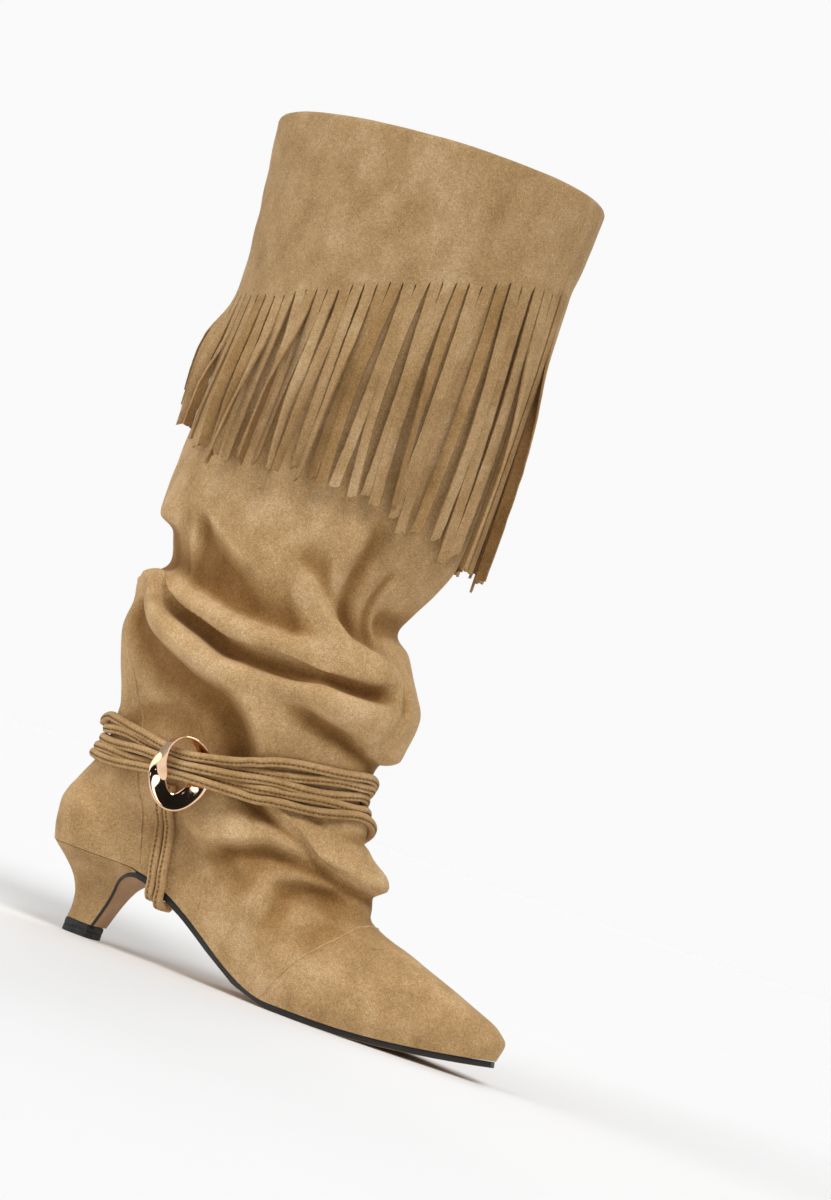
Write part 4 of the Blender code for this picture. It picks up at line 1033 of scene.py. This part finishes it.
def bump(angles, centre, width):
    """1 at an angle, falling off to both sides."""
    return np.exp(-((turn_from(np.asarray(angles), centre) / width) ** 2))


RING_ANGLE = math.acos(1 - 2 * RING_ALONG)
# Where the cords bunch up to pass the ring, and where they climb out over it: ahead of the ring, spread
BUNCH_AHEAD = 0.03
BUNCH_SPREAD = 0.42
CLIMB = 0.0074
CLIMB_AHEAD = 0.20
CLIMB_SPREAD = 0.23
CORD_STEPS = 260
CORD_FACING = math.radians(12)
STIRRUP_FACING = 0.35

# How the cords change places on their way round, as (angle, place of each of the five, low to high): the
# ring sees them as in the model, and they cross on the medial side and at the heel.
CORD_PLACES = (
    (-50, (1, 0, 2, 4, 3)),
    (-16, (0, 1, 2, 4, 3)),
    (24, (0, 1, 2, 3, 4)),
    (140, (0, 1, 2, 3, 4)),
    (262, (0, 1, 2, 3, 4)),
    (290, (1, 0, 2, 3, 4)),
    (310, (1, 0, 2, 4, 3)),
)


def cord_line(tree, number, angles):
    """The middle line of one turn of the cord round the ankle."""
    bunch_up, bunch_out = CORD_BUNCH[number]
    stations = [a for a, _ in CORD_PLACES] + [CORD_PLACES[0][0] + 360]
    places = [p[number] for _, p in CORD_PLACES] + [CORD_PLACES[0][1][number]]
    place = monotone(stations, places, (np.degrees(angles) + 50) % 360 - 50)
    moving = np.abs(place - np.round(place)) * 2
    bunch = bump(angles, RING_ANGLE + BUNCH_AHEAD, BUNCH_SPREAD)
    sway = 0.0009 * np.sin(angles * 3 + number * 1.7) + 0.0006 * np.sin(angles * 7 + number * 2.9)
    up = ((place - 2) * (1 - bunch) + bunch_up * bunch) * CORD_PITCH + sway * (1 - bunch)
    hop = moving * (CORD_DIAMETER * 0.95 if number % 2 == 0 else 0.0) * (1 - bunch)
    lift = CLIMB * bump(angles, RING_ANGLE + CLIMB_AHEAD, CLIMB_SPREAD)
    wall, outward = creased_wall(tree, angles, ANKLE_HEIGHT * round_table(CORD_ROUTE, 1, angles) + up)
    centre = wall + (CORD_DIAMETER / 2 + 0.0002) * outward
    centre = push_clear(tree, centre, CORD_DIAMETER / 2 + 0.0001, 3)
    kernel = np.array([1, 2, 3, 4, 5, 4, 3, 2, 1], float)
    kernel /= kernel.sum()
    reach = len(kernel) // 2
    looped = np.concatenate([centre[-reach:], centre, centre[:reach]])
    taut = np.stack([np.convolve(looped[:, k], kernel, mode="valid") for k in range(3)], axis=1)
    taut = push_clear(tree, taut, CORD_DIAMETER / 2 - 0.0002, 2)
    out = bunch_out * np.sin(bunch * math.pi / 2) * CORD_PITCH + lift + hop
    return taut + out[:, None] * outward


def tube_frames(points, closed, lean=UPWARD):
    """The way along a line at each of its points, and two ways across it."""
    points = np.asarray(points, float)
    along = np.roll(points, -1, axis=0) - np.roll(points, 1, axis=0)
    if not closed:
        along[0], along[-1] = points[1] - points[0], points[-1] - points[-2]
    along /= np.linalg.norm(along, axis=1, keepdims=True)
    side = np.cross(along, lean)
    side /= np.linalg.norm(side, axis=1, keepdims=True)
    rise = np.cross(side, along)
    return along, side, rise


CORD_SIDES = 20
THREAD_SIDES = 5
GROOVE_TURN = -0.50
LIP_TURN = -1.02


def cord_mesh(points, closed, facing_turn, lean):
    """A cord sewn from a folded strip: a round, a stitched groove below its middle, and the strip's lip."""
    _, side, rise = tube_frames(points, closed, lean)
    rings, shades = [], []
    for centre, across, up in zip(points, side, rise):
        ring = []
        for turn in full_turn(CORD_SIDES):
            dent = GROOVE_DEPTH * float(bump(turn, facing_turn + GROOVE_TURN, 0.24))
            lip = LIP_HEIGHT * float(bump(turn, facing_turn + LIP_TURN, 0.26))
            radius = CORD_DIAMETER / 2 - dent + lip
            ring.append(centre + radius * (math.cos(turn) * across + math.sin(turn) * up))
            # Painted shade darkens the stitched groove, and painted light makes the strip's lip lighter
            shades.append(0.5 - dent * 620 + lip * 260)
        rings.append(ring)
    return rings, shades


def stitches(points, closed, facing_turn, lean):
    """Small raised stitches along a cord's groove."""
    _, side, rise = tube_frames(points, closed, lean)
    lines = [np.concatenate([line, line[:1]]) if closed else line for line in (points, side, rise)]
    walked = walk(lines[0])
    verts, faces = [], []
    count = int(walked[-1] / STITCH_PITCH)
    for k in range(count):
        middle = (k + 0.5) * walked[-1] / count
        first = len(verts)
        for shift, size, raised in ((-0.27, 0.6, 0.0), (0.0, 1.0, 0.00030), (0.27, 0.6, 0.0)):
            at = min(max(middle + shift * STITCH_PITCH, 0.0), walked[-1])
            centre, across, up = (between(at, walked, line) for line in lines)
            way = math.cos(facing_turn) * across + math.sin(facing_turn) * up
            flat = -math.sin(facing_turn) * across + math.cos(facing_turn) * up
            centre = centre + (CORD_DIAMETER / 2 - GROOVE_DEPTH + raised) * way
            for turn in full_turn(THREAD_SIDES):
                verts.append(centre + STITCH_RADIUS * size * (math.cos(turn) * flat + math.sin(turn) * way))
        faces += grid_faces(3, THREAD_SIDES, first)
        faces.append(tuple(range(first, first + THREAD_SIDES))[::-1])
        faces.append(tuple(range(first + 2 * THREAD_SIDES, first + 3 * THREAD_SIDES)))
    return verts, faces


def sew_cord(name, node, points, closed, facing_turn, lean=UPWARD):
    """One cord as a piece, in place of the model's own. Returns the stitching along its groove."""
    rings, shades = cord_mesh(points, closed, facing_turn, lean)
    verts, faces = loft_rings(rings, closed=closed)
    piece = new_piece(name, verts, faces, CORD_SUEDE, "suede_cord", (node,), sharp=80)
    shade_attribute(piece.data, np.array(shades))
    return stitches(points, closed, facing_turn + GROOVE_TURN, lean)


def make_cords(tree):
    """The cord's five turns round the ankle, with their stitching. Returns their middle lines."""
    lines = [cord_line(tree, number, full_turn(CORD_STEPS)) for number in range(len(CORD_BUNCH))]
    sewing = [sew_cord(f"cord_turn_{k}", f"ankle_cord_{k}", line, True, CORD_FACING)
              for k, line in enumerate(lines, 1)]
    new_piece("cord_stitching", *gather(sewing), THREAD, "suede_cord", sharp=80)
    return lines


def smooth_route(points, count, rounds=6):
    """A smooth line through given points, evenly walked."""
    points = np.asarray(points, float)
    steps = walk(points)
    fine = np.linspace(0, steps[-1], count * 4)
    curve = eased(np.stack([monotone(steps, points[:, k], fine) for k in range(3)], axis=1), rounds)
    walked = walk(curve)
    return between(np.linspace(0, walked[-1], count), walked, curve)


def side_place(tree, x, z, side, distance):
    """A point beside the creased leather, at a place along the boot and a height."""
    start = Vector((x, side * 0.12, z))
    hit, normal, _, _ = tree.ray_cast(start, Vector((0, -side, 0)))
    if hit is None:
        return np.array([x, side * 0.03, z])
    return np.array(hit) + distance * np.array(normal) * (1 if normal.y * side > 0 else -1)


def slope_at(x, line):
    """A line's slope at a place along the boot."""
    return float(line(x + 0.001) - line(x - 0.001)) / 0.002


def under_sole(x, distance):
    """Height of a place a distance below the sole."""
    slope = slope_at(x, feather_line)
    return float(feather_line(x)) - GAP - (SOLE_THICKNESS + distance) * math.hypot(1, slope)


# The two stirrup cords' places along the boot, behind the ring and at the waist
STIRRUP_PLACES = ((0.0355, 0.0440), (0.0415, 0.0500))


def make_stirrup_cords(tree):
    """The two cords from behind the ring down the lateral side and under the waist."""
    radius = CORD_DIAMETER / 2
    top_z = ANKLE_HEIGHT * 0.94
    sewing = []
    for number, (top_x, low_x) in enumerate(STIRRUP_PLACES, 1):
        low_z = float(feather_line(low_x)) + 0.001
        route = []
        for share in (0.0, 0.2, 0.4, 0.6, 0.8, 0.92, 1.0):
            x = top_x + (low_x - top_x) * share ** 1.3
            route.append(side_place(tree, x, top_z + (low_z - top_z) * share, -1, radius + 0.0006))
        edge_y, edge_z = route[-1][1:]
        floor_z = under_sole(low_x + 0.0015, radius + 0.0005)
        for ahead, inward, z in ((0.0, 0.0006, (edge_z + floor_z) / 2), (0.0004, 0.0034, floor_z + 0.0001),
                                 (0.0010, 0.0080, floor_z), (0.0015, 0.0150, floor_z)):
            route.append(np.array([low_x + ahead, edge_y + inward, z]))
        sewing.append(sew_cord(f"stirrup_cord_{number}_sewn", f"stirrup_cord_{number}",
                               smooth_route(route, 60, 60), False, STIRRUP_FACING, (1.0, 0.0, 0.0)))
    new_piece("stirrup_stitching", *gather(sewing), THREAD, "suede_cord", sharp=80)


# The strap at the feather and at its hook over the cords, along the boot
STRAP_LOW_X = 0.0560
STRAP_TOP_X = 0.0700
# Its section, from one edge of its inner face round by the outer: place across, place through
STRAP_SECTION = ((0.0, 0.25), (0.0, 0.75), (0.012, 0.95), (0.04, 1.0), (0.10, 0.97), (0.20, 1.0), (0.5, 1.04),
                 (0.80, 1.0), (0.90, 0.97), (0.96, 1.0), (0.988, 0.95), (1.0, 0.75), (1.0, 0.25), (0.96, 0.0),
                 (0.5, 0.0), (0.04, 0.0))


def strap_edge(tree, cords, shift):
    """One edge of the strap's inner face: points, and the way its outer face looks at each."""
    low_x, top_x = STRAP_LOW_X + shift, STRAP_TOP_X + shift
    reach = CORD_DIAMETER / 2 + STRAP_CLEARANCE
    held = []
    for line in cords:
        medial = line[line[:, 1] > 0]
        medial = medial[np.argsort(medial[:, 0])]
        held.append(between(top_x, medial[:, 0], medial))
    held.sort(key=lambda p: p[2])
    base_z = float(feather_line(low_x))
    climb = held[0][2] - reach - base_z
    edge = side_place(tree, low_x, base_z + climb * 0.03, 1, STRAP_CLEARANCE)
    under = under_sole(low_x, STRAP_CLEARANCE)
    points = []
    for y in (-0.0040, 0.0060, 0.0160):
        x = low_x - 0.35 * (0.0160 - y)
        points.append((np.array([x, y, under_sole(x, STRAP_CLEARANCE)]), np.array([0.0, 0.0, -1.0])))
    points.append((np.array([low_x, edge[1] - 0.0010, under]), np.array([0.0, 0.5, -0.85])))
    points.append((np.array([low_x, edge[1], under + 0.0020]), np.array([0.0, 0.9, -0.4])))
    for share in (0.03, 0.16, 0.30, 0.45, 0.62, 0.82):
        x = low_x + (top_x - low_x) * share
        place = side_place(tree, x, base_z + climb * share, 1, STRAP_CLEARANCE)
        points.append((place, np.array([0.0, 1.0, 0.0])))
    for number, out, up in ((0, 0.80, -0.75), (0, 1.05, 0.0), (2, 1.05, 0.0), (4, 1.05, 0.0), (4, 0.78, 0.78),
                            (4, -0.30, 1.10)):
        at = held[number] + reach * np.array([0.0, out, up])
        points.append((at, np.array([0.0, max(out, 0.0), up])))
    return points


def make_strap(tree, cords):
    """The flat stirrup strap, under the waist, up the medial side and hooked over the cords."""
    lines, facings = [], []
    for shift in (-STRAP_WIDTH / 2, STRAP_WIDTH / 2):
        edge = strap_edge(tree, cords, shift)
        line = np.array([p for p, _ in edge])
        ways = np.array([w / np.linalg.norm(w) for _, w in edge])
        steps = walk(line)
        even = np.linspace(0, steps[-1], 110)
        lines.append(eased(np.stack([monotone(steps, line[:, k], even) for k in range(3)], axis=1), 5))
        facings.append(eased(between(even, steps, ways), 5))
    rings = []
    for back, front, way in zip(*lines, facings[0] + facings[1]):
        way = way / np.linalg.norm(way)
        rings.append([back + (front - back) * u + STRAP_THICKNESS * v * way for u, v in STRAP_SECTION])
    verts, faces = loft_rings(rings)
    new_piece("strap_suede_band", verts, faces, STRAP_SUEDE, "suede_cord", ("stirrup_strap",), sharp=60)


def make_ring():
    """The polished ring: an oval band with half a twist, edge on at its top and a dish at its foot."""
    height = ANKLE_HEIGHT * float(round_table(CORD_ROUTE, 1, np.array([RING_ANGLE]))[0]) - RING_DROP
    wall, outward = soft_wall([RING_ANGLE], [height])
    centre = wall[0] + RING_STANDOFF * outward[0]
    out_x, out_y, _ = outward[0]
    face = np.array([out_x * math.cos(RING_TURN) - out_y * math.sin(RING_TURN),
                     out_x * math.sin(RING_TURN) + out_y * math.cos(RING_TURN), 0.0])
    level = np.cross(UPWARD, face)
    up = math.cos(RING_LEAN) * np.array(UPWARD) + math.sin(RING_LEAN) * level
    across = np.cross(up, face)
    turns = full_turn(RING_STEPS)
    rows = np.array(RING_BAND, float)
    middle, half, tips = (monotone(rows[:, 0], rows[:, k], np.degrees(turns)) for k in (1, 2, 3))
    rings = []
    for angle, radius, reach, tip in zip(turns, middle * RING_RADIUS, half * RING_RADIUS, np.radians(tips)):
        place = centre + radius * (RING_OVAL * math.sin(angle) * across + math.cos(angle) * up)
        radial = math.sin(angle) * across + RING_OVAL * math.cos(angle) * up
        radial /= np.linalg.norm(radial)
        wide = math.cos(tip) * radial - math.sin(tip) * face
        thin = math.sin(tip) * radial + math.cos(tip) * face
        ring = []
        for a in full_turn(RING_SIDES):
            u = math.copysign(abs(math.cos(a)) ** 0.5, math.cos(a))
            v = math.copysign(abs(math.sin(a)) ** 0.8, math.sin(a))
            dish = RING_DISH * (1 - u * u) * math.cos(tip)
            ring.append(place + reach * u * wide + (RING_PLATE / 2 * v - dish) * thin)
        rings.append(ring)
    verts, faces = loft_rings(rings, caps=False)
    last = (RING_STEPS - 1) * RING_SIDES
    half_turn = RING_SIDES // 2
    for i in range(RING_SIDES):
        j = (i + 1) % RING_SIDES
        faces.append((last + i, last + j, (j + half_turn) % RING_SIDES, (i + half_turn) % RING_SIDES))
    new_piece("polished_ring", verts, faces, ROSE_GOLD, "rose_gold", ("ring",), sharp=70)


def breast_path(count=24):
    """The sole's run down the heel's breast: points and normals to its hidden face."""
    top_z = float(feather_line(BREAST_START)) - GAP
    points, normals = [], []
    for k in range(count + 1):
        a = k * BREAST_SWEEP / count
        points.append((BREAST_START - BREAST_RADIUS * math.sin(a), top_z - BREAST_RADIUS * (1 - math.cos(a))))
        normals.append((-math.sin(a), math.cos(a)))
    end_x, end_z = points[-1]
    drop = end_z - TOP_PIECE - GAP
    for share in np.linspace(0.1, 1.0, 10):
        points.append((end_x - drop * share / math.tan(BREAST_SWEEP), end_z - drop * share))
        normals.append(normals[count])
    return points, normals


def heel_opening(share):
    """How far the heel has opened from its foot's width to the seat's, at a share of its height."""
    return float(monotone(HEEL_RINGS[:, 0], HEEL_RINGS[:, 2], share))


def heel_share(z):
    """A height as a share of the heel's, above the top piece."""
    low, high = TOP_PIECE + GAP, HEEL_HEIGHT - GAP
    return min(max((z - low) / (high - low), 0.0), 1.0)


def seat_half_width(x):
    """Half the sole's width at a place along the boot."""
    width, _ = outline_shape(np.atleast_1d((x + HEEL_OVERHANG) / FOOT_LENGTH))
    return np.maximum(width * BALL_WIDTH / 2 - SOLE_INSET, 0.0)


def breast_x(z):
    """Where the sole's run down the breast is at a height."""
    points, _ = breast_path()
    heights = [p[1] for p in points][::-1]
    return float(np.interp(z, heights, [p[0] for p in points][::-1]))


def heel_ring(share, front, count=49):
    """The heel's outline at a share of its height: straight across the breast, round behind."""
    turn = math.pi * (0.5 + np.arange(count) / (count - 1))
    back = -float(monotone(HEEL_RINGS[:, 0], HEEL_RINGS[:, 1], share)) * (HEEL_OVERHANG - SOLE_INSET)
    seat_back = -(HEEL_OVERHANG - SOLE_INSET)
    seat_x = front + (front - seat_back) * np.cos(turn)
    opening = heel_opening(share)
    foot = HEEL_FOOT_WIDTH / 2 * np.abs(np.sin(turn)) ** 0.8
    half = foot * (1 - opening) + seat_half_width(seat_x) * opening
    return list(zip(front + (front - back) * np.cos(turn), half * np.sign(np.sin(turn))))


def make_heel():
    """The suede-covered heel."""
    points, _ = breast_path()
    top = points[4][1]
    above = [z for _, z in points[4:2:-1] if z > top + 0.00005]
    rings = []
    for z in [*np.linspace(TOP_PIECE + GAP, top, 44), *above]:
        rings.append([(x, y, z) for x, y in heel_ring(heel_share(z), breast_x(z) - GAP)])
    seat = heel_ring(1.0, points[3][0] - GAP)
    rings.append([(x, y, float(feather_line(x)) - GAP) for x, y in seat])
    verts, faces = loft_rings(rings)
    new_piece("heel_cover", verts, faces, HEEL_SUEDE, "suede", ("heel",), sharp=50)


def make_outsole():
    """The thin leather sole, its edge painted black, running on down the heel's breast."""
    toe_x = FOOT_LENGTH - HEEL_OVERHANG - SOLE_INSET
    sweep = 1 - np.cos(np.linspace(0.0, math.pi / 2, 90))
    xs = toe_x - sweep * (toe_x - BREAST_START)
    soft = 0.0005
    rings = []

    def section(x, z, nx, nz, half, middle, thick):
        """The sole's outline across it, under a place on its hidden face and the normal there."""
        ring = [(x, middle + s * half, z) for s in (-1.0, -0.33, 0.33, 1.0)]
        for s in (1.0, -1.0):
            line = [(s * half, 0.15), (s * half, 0.80), (s * (half - soft * 0.3), 0.94),
                    (s * (half - soft), 1.0), (s * half * 0.33, 1.0)]
            if s < 0:
                line = line[::-1]
            ring += [(x - nx * thick * d, middle + y, z - nz * thick * d) for y, d in line]
        return ring

    for x in xs:
        along = (x + HEEL_OVERHANG) / FOOT_LENGTH
        width, drift = outline_shape(np.array([along]))
        half = max(float(width[0]) * BALL_WIDTH / 2 - SOLE_INSET, 0.0012)
        slope = slope_at(x, feather_height)
        run = math.hypot(1, slope)
        rings.append(section(x, float(feather_line(x)) - GAP, -slope / run, 1 / run, half,
                             float(drift[0]) * BALL_WIDTH / 2, SOLE_THICKNESS))
    points, normals = breast_path()
    for k, ((x, z), (nx, nz)) in enumerate(zip(points[1:], normals[1:]), 1):
        fade = k / (len(points) - 1)
        thick = SOLE_THICKNESS + (BREAST_FLAP - SOLE_THICKNESS) * min(1.0, 2 * fade)
        opening = heel_opening(heel_share(z))
        half = HEEL_FOOT_WIDTH / 2 * (1 - opening) + float(seat_half_width(BREAST_START)[0]) * opening
        ring = section(x, z, nx, nz, half, 0.0, thick)
        rings.append([(px, py, max(pz, TOP_PIECE + GAP)) for px, py, pz in ring])
    verts, faces = loft_rings(rings)
    piece = new_piece("leather_sole", verts, faces, [SOLE_EDGE, SOLE], "sole_leather", ("outsole",), sharp=40)
    for polygon in piece.data.polygons:
        facing = polygon.normal
        low = facing.z < -0.55 or (facing.x > 0.5 and polygon.center.x < BREAST_START)
        polygon.material_index = 1 if low and abs(facing.y) < 0.5 else 0


def make_top_piece():
    """The black lift under the heel, its corners cut and its edges softened."""
    front = breast_x(TOP_PIECE + GAP) + BREAST_FLAP
    half = HEEL_FOOT_WIDTH / 2
    corner = half * 0.35
    plan = [(front, -half + corner), (front, half - corner), (front - corner, half)]
    back = -HEEL_FOOT_BACK
    for k in range(25):
        a = math.pi * (0.5 - k / 24)
        plan.append((back + half - half * math.cos(a), half * math.sin(a)))
    plan.append((front - corner, -half))
    middle = np.mean(plan, axis=0)
    rings = []
    for height, inset in ((0.0, 0.0004), (0.0004, 0.0), (0.0012, 0.0), (0.0030, 0.0), (0.0034, 0.00035),
                          (0.0038, 0.0), (0.0064, 0.0), (TOP_PIECE, 0.0004)):
        ring = []
        for p in plan:
            way = (middle - p) / np.linalg.norm(middle - p)
            ring.append((*(np.array(p) + inset * way), height))
        rings.append(ring)
    verts, faces = loft_rings(rings)
    new_piece("rubber_top_piece", verts, faces, RUBBER, "black_rubber", ("top_piece",), sharp=35)


# The seams' section: place across, place up
SEAM_SECTION = ((-1.0, -0.5), (-0.9, 0.45), (-0.35, 1.0), (0.5, 0.75), (1.0, -0.5))
# The lateral seam: place along the boot, height
LATERAL_SEAM = ((0.033, 0.049), (0.030, 0.060), (0.0259, 0.071), (0.0165, 0.095), (0.0075, 0.120),
                (-0.0050, 0.139), (-0.0180, 0.156), (-0.0260, 0.168))


def make_seam(tree, name, line, width, height):
    """A lapped seam edge: a low, narrow welt laid on the leather along a line of points."""
    route = smooth_route(line, max(24, len(line) * 3))
    rings = []
    for along, place in zip(tube_frames(route, False, (0.31, 0.0, 0.95))[0], route):
        near, normal, _, _ = tree.find_nearest(Vector(place))
        normal = np.array(normal)
        across = np.cross(along, normal)
        across /= np.linalg.norm(across)
        rings.append([np.array(near) + across * a * width / 2 + normal * b * height for a, b in SEAM_SECTION])
    verts, faces = loft_rings(rings)
    new_piece(name, verts, faces, SEAM_SUEDE, "suede", sharp=60)


def vamp_line(tree):
    """Across the vamp from feather to feather: nearly straight from each side up to the ridge."""
    ridge_x, side_x, middle = 0.155, 0.127, 0.0015
    line = []
    for side in (-1, 1):
        half = []
        for rise in np.linspace(0.0, 1.0, 40):
            x = side_x + (ridge_x - side_x) * rise**1.2
            start = Vector((x, side * 0.12, 0.0065 + rise * 0.045))
            hit, _, _, _ = tree.ray_cast(start, Vector((0, -side, 0)))
            if hit is not None and (hit.y - middle) * side > 0:
                half.append(np.array(hit))
        line += half if side < 0 else half[::-1]
    return line


def make_seams(tree):
    """The seams that show: up the lateral side, up the back to the second fold, and across the vamp."""
    places, heights = np.transpose(LATERAL_SEAM)
    line = [side_place(tree, float(np.interp(z, heights, places)), z, -1, 0.0)
            for z in np.linspace(0.0485, 0.168, 60)]
    make_seam(tree, "lateral_seam", line, 0.0011, 0.00055)
    line = [creased_wall(tree, [0.0], [z])[0][0] for z in np.linspace(0.049, 0.162, 36)]
    make_seam(tree, "back_seam", line, 0.0014, 0.0006)
    make_seam(tree, "vamp_seam", vamp_line(tree), 0.0013, 0.0006)


def make_insole():
    """The model's own insole, in the lining's leather."""
    insole = bpy.data.objects["insole"]
    insole.data.materials.clear()
    insole.data.materials.append(LINING)


FLOOR_SIZE = 400
FLOOR_ALBEDO = 0.86
FLOOR_SPECK = 0.004
WORLD_LIGHT = 0.60
# The world's grey from straight down to straight up
WORLD_STOPS = ((0.0, 0.95), (0.50, 0.95), (0.60, 0.66), (0.74, 0.44), (0.86, 0.85), (1.0, 1.0))
# A dark patch that the ring's dish mirrors: the way to it, the cosines of its edge, and the light left in it
DARK_WAY = (0.39, -0.91, 0.12)
DARK_EDGE = (0.70, 0.78)
DARK_LEFT = 0.04
SUNS = (
    # name, azimuth it shines from, elevation, strength, width of its disc
    ("key", 306, 52, 1.60, 30),
    ("fill", 215, 30, 1.00, 60),
    ("rim", 105, 40, 0.60, 30),
)
PANELS = (
    # way to a small bright panel that polished metal mirrors, and the cosine of its half width
    ((0.650, -0.750, 0.110), 0.9925),
    ((0.200, -0.965, 0.150), 0.9958),
)
PANEL_BLUR = 0.0006
PANEL_LIGHT = 4.0


def world_on_floor():
    """How much of the world's light a level floor receives."""
    rise, level = np.meshgrid(np.linspace(0.0025, 0.9975, 200), full_turn(360))
    flat = np.sqrt(1 - rise**2)
    ways = np.stack([flat * np.cos(level), flat * np.sin(level), rise], axis=-1)
    value = np.interp((rise + 1) / 2, *np.transpose(WORLD_STOPS))
    inside = np.clip((ways @ np.array(DARK_WAY) - DARK_EDGE[0]) / (DARK_EDGE[1] - DARK_EDGE[0]), 0, 1)
    value = value * (1 - inside * (1 - DARK_LEFT))
    return WORLD_LIGHT * float(np.mean(2 * value * rise))


def make_suns():
    """Soft studio lights. Returns how much light they give a level floor."""
    received = 0.0
    for name, azimuth, elevation, strength, width in SUNS:
        sun = bpy.data.lights.new(name, "SUN")
        sun.energy = strength
        sun.angle = math.radians(width)
        lamp = bpy.data.objects.new(name, sun)
        level, lift = math.radians(azimuth), math.radians(elevation)
        way = Vector((math.cos(level) * math.cos(lift), math.sin(level) * math.cos(lift), math.sin(lift)))
        lamp.rotation_euler = (-way).to_track_quat("-Z", "Y").to_euler()
        bpy.context.scene.collection.objects.link(lamp)
        received += strength * math.sin(lift) / math.pi
    return received


def make_world(seen_grey):
    """The studio that lights and is mirrored, and the plain grey that the camera sees in its place."""
    world = bpy.data.worlds.new("studio")
    bpy.context.scene.world = world
    world.use_nodes = True
    world.node_tree.nodes.clear()
    n = Tree(world.node_tree)
    looked = n.add("ShaderNodeTexCoord").outputs["Generated"]
    parts = n.add("ShaderNodeSeparateXYZ")
    n.link(looked, parts.inputs["Vector"])
    rise = n.math("MULTIPLY_ADD", parts.outputs["Z"], 0.5, 0.5)

    def toward(way, low, high, first, last):
        """A value that goes from first to last as the looked-at direction nears a way."""
        dot = n.add("ShaderNodeVectorMath", operation="DOT_PRODUCT")
        dot.inputs[1].default_value = way
        n.link(looked, dot.inputs[0])
        spread = n.add("ShaderNodeMapRange")
        n.feed(spread.inputs[:5], (dot.outputs["Value"], low, high, first, last))
        return spread.outputs["Result"]

    def background(colour, strength):
        node = n.add("ShaderNodeBackground")
        n.feed((node.inputs["Color"], node.inputs["Strength"]), (colour, strength))
        return node.outputs[0]

    glow = n.ramp(rise, [(position, (value,) * 3) for position, value in WORLD_STOPS])
    glow = n.math("MULTIPLY", glow, toward(DARK_WAY, *DARK_EDGE, 1.0, DARK_LEFT))
    for way, edge in PANELS:
        glow = n.math("ADD", glow, toward(way, edge - PANEL_BLUR, edge, 0.0, PANEL_LIGHT))
    mix = n.add("ShaderNodeMixShader")
    n.feed(mix.inputs, (n.add("ShaderNodeLightPath").outputs["Is Camera Ray"], background(glow, WORLD_LIGHT),
                        background((1.0, 1.0, 1.0), seen_grey)))
    n.link(mix.outputs[0], n.add("ShaderNodeOutputWorld").inputs["Surface"])


def make_stage():
    """A plain pale floor that meets an equally pale background, and soft studio light."""
    bpy.ops.mesh.primitive_plane_add(size=FLOOR_SIZE)
    floor = bpy.context.object
    floor.name = "studio_floor"
    n = Nodes("floor_paper")
    ends = ((0.3, (FLOOR_ALBEDO - FLOOR_SPECK,) * 3), (0.7, (FLOOR_ALBEDO + FLOOR_SPECK,) * 3))
    n.link(n.ramp(n.noise(4, 2.0), ends), n.shader.inputs["Base Color"])
    n.shader.inputs["Roughness"].default_value = 1.0
    n.shader.inputs["Specular IOR Level"].default_value = 0.0
    floor.data.materials.append(n.material)
    make_world(FLOOR_ALBEDO * (world_on_floor() + make_suns()))
    bpy.context.scene.view_settings.view_transform = "Standard"


CAMERA_AZIMUTH = math.radians(20)
CAMERA_DISTANCE = 1.55
CAMERA_HEIGHT = 0.10
CAMERA_TARGET = Vector((0.113, 0.0226, 0.232))
CAMERA_ROLL = math.radians(19.2)
FRAME_HEIGHT = 0.656
SENSOR = 36.0


def make_camera():
    """The photograph's angle to the boot: from the lateral side, a little ahead of it, near the floor, and
    rolled as the photograph's leaning shaft needs."""
    place = Vector((CAMERA_TARGET.x + math.sin(CAMERA_AZIMUTH) * CAMERA_DISTANCE,
                    CAMERA_TARGET.y - math.cos(CAMERA_AZIMUTH) * CAMERA_DISTANCE, CAMERA_HEIGHT))
    camera = bpy.data.cameras.new("camera")
    camera.sensor_width = SENSOR
    camera.lens = SENSOR * (CAMERA_TARGET - place).length / FRAME_HEIGHT
    camera.clip_start = 0.01
    seen = bpy.data.objects.new("camera", camera)
    turn = (CAMERA_TARGET - place).to_track_quat("-Z", "Y").to_matrix().to_4x4()
    seen.matrix_world = Matrix.Translation(place) @ turn @ Matrix.Rotation(CAMERA_ROLL, 4, "Z")
    bpy.context.scene.collection.objects.link(seen)
    bpy.context.scene.camera = seen


def main():
    make_camera()
    make_stage()
    make_upper()
    tree = wall_finder()
    make_cuff(np.random.default_rng(41))
    cords = make_cords(tree)
    make_stirrup_cords(tree)
    make_strap(tree, cords)
    make_ring()
    make_heel()
    make_outsole()
    make_top_piece()
    make_seams(tree)
    make_insole()


main()
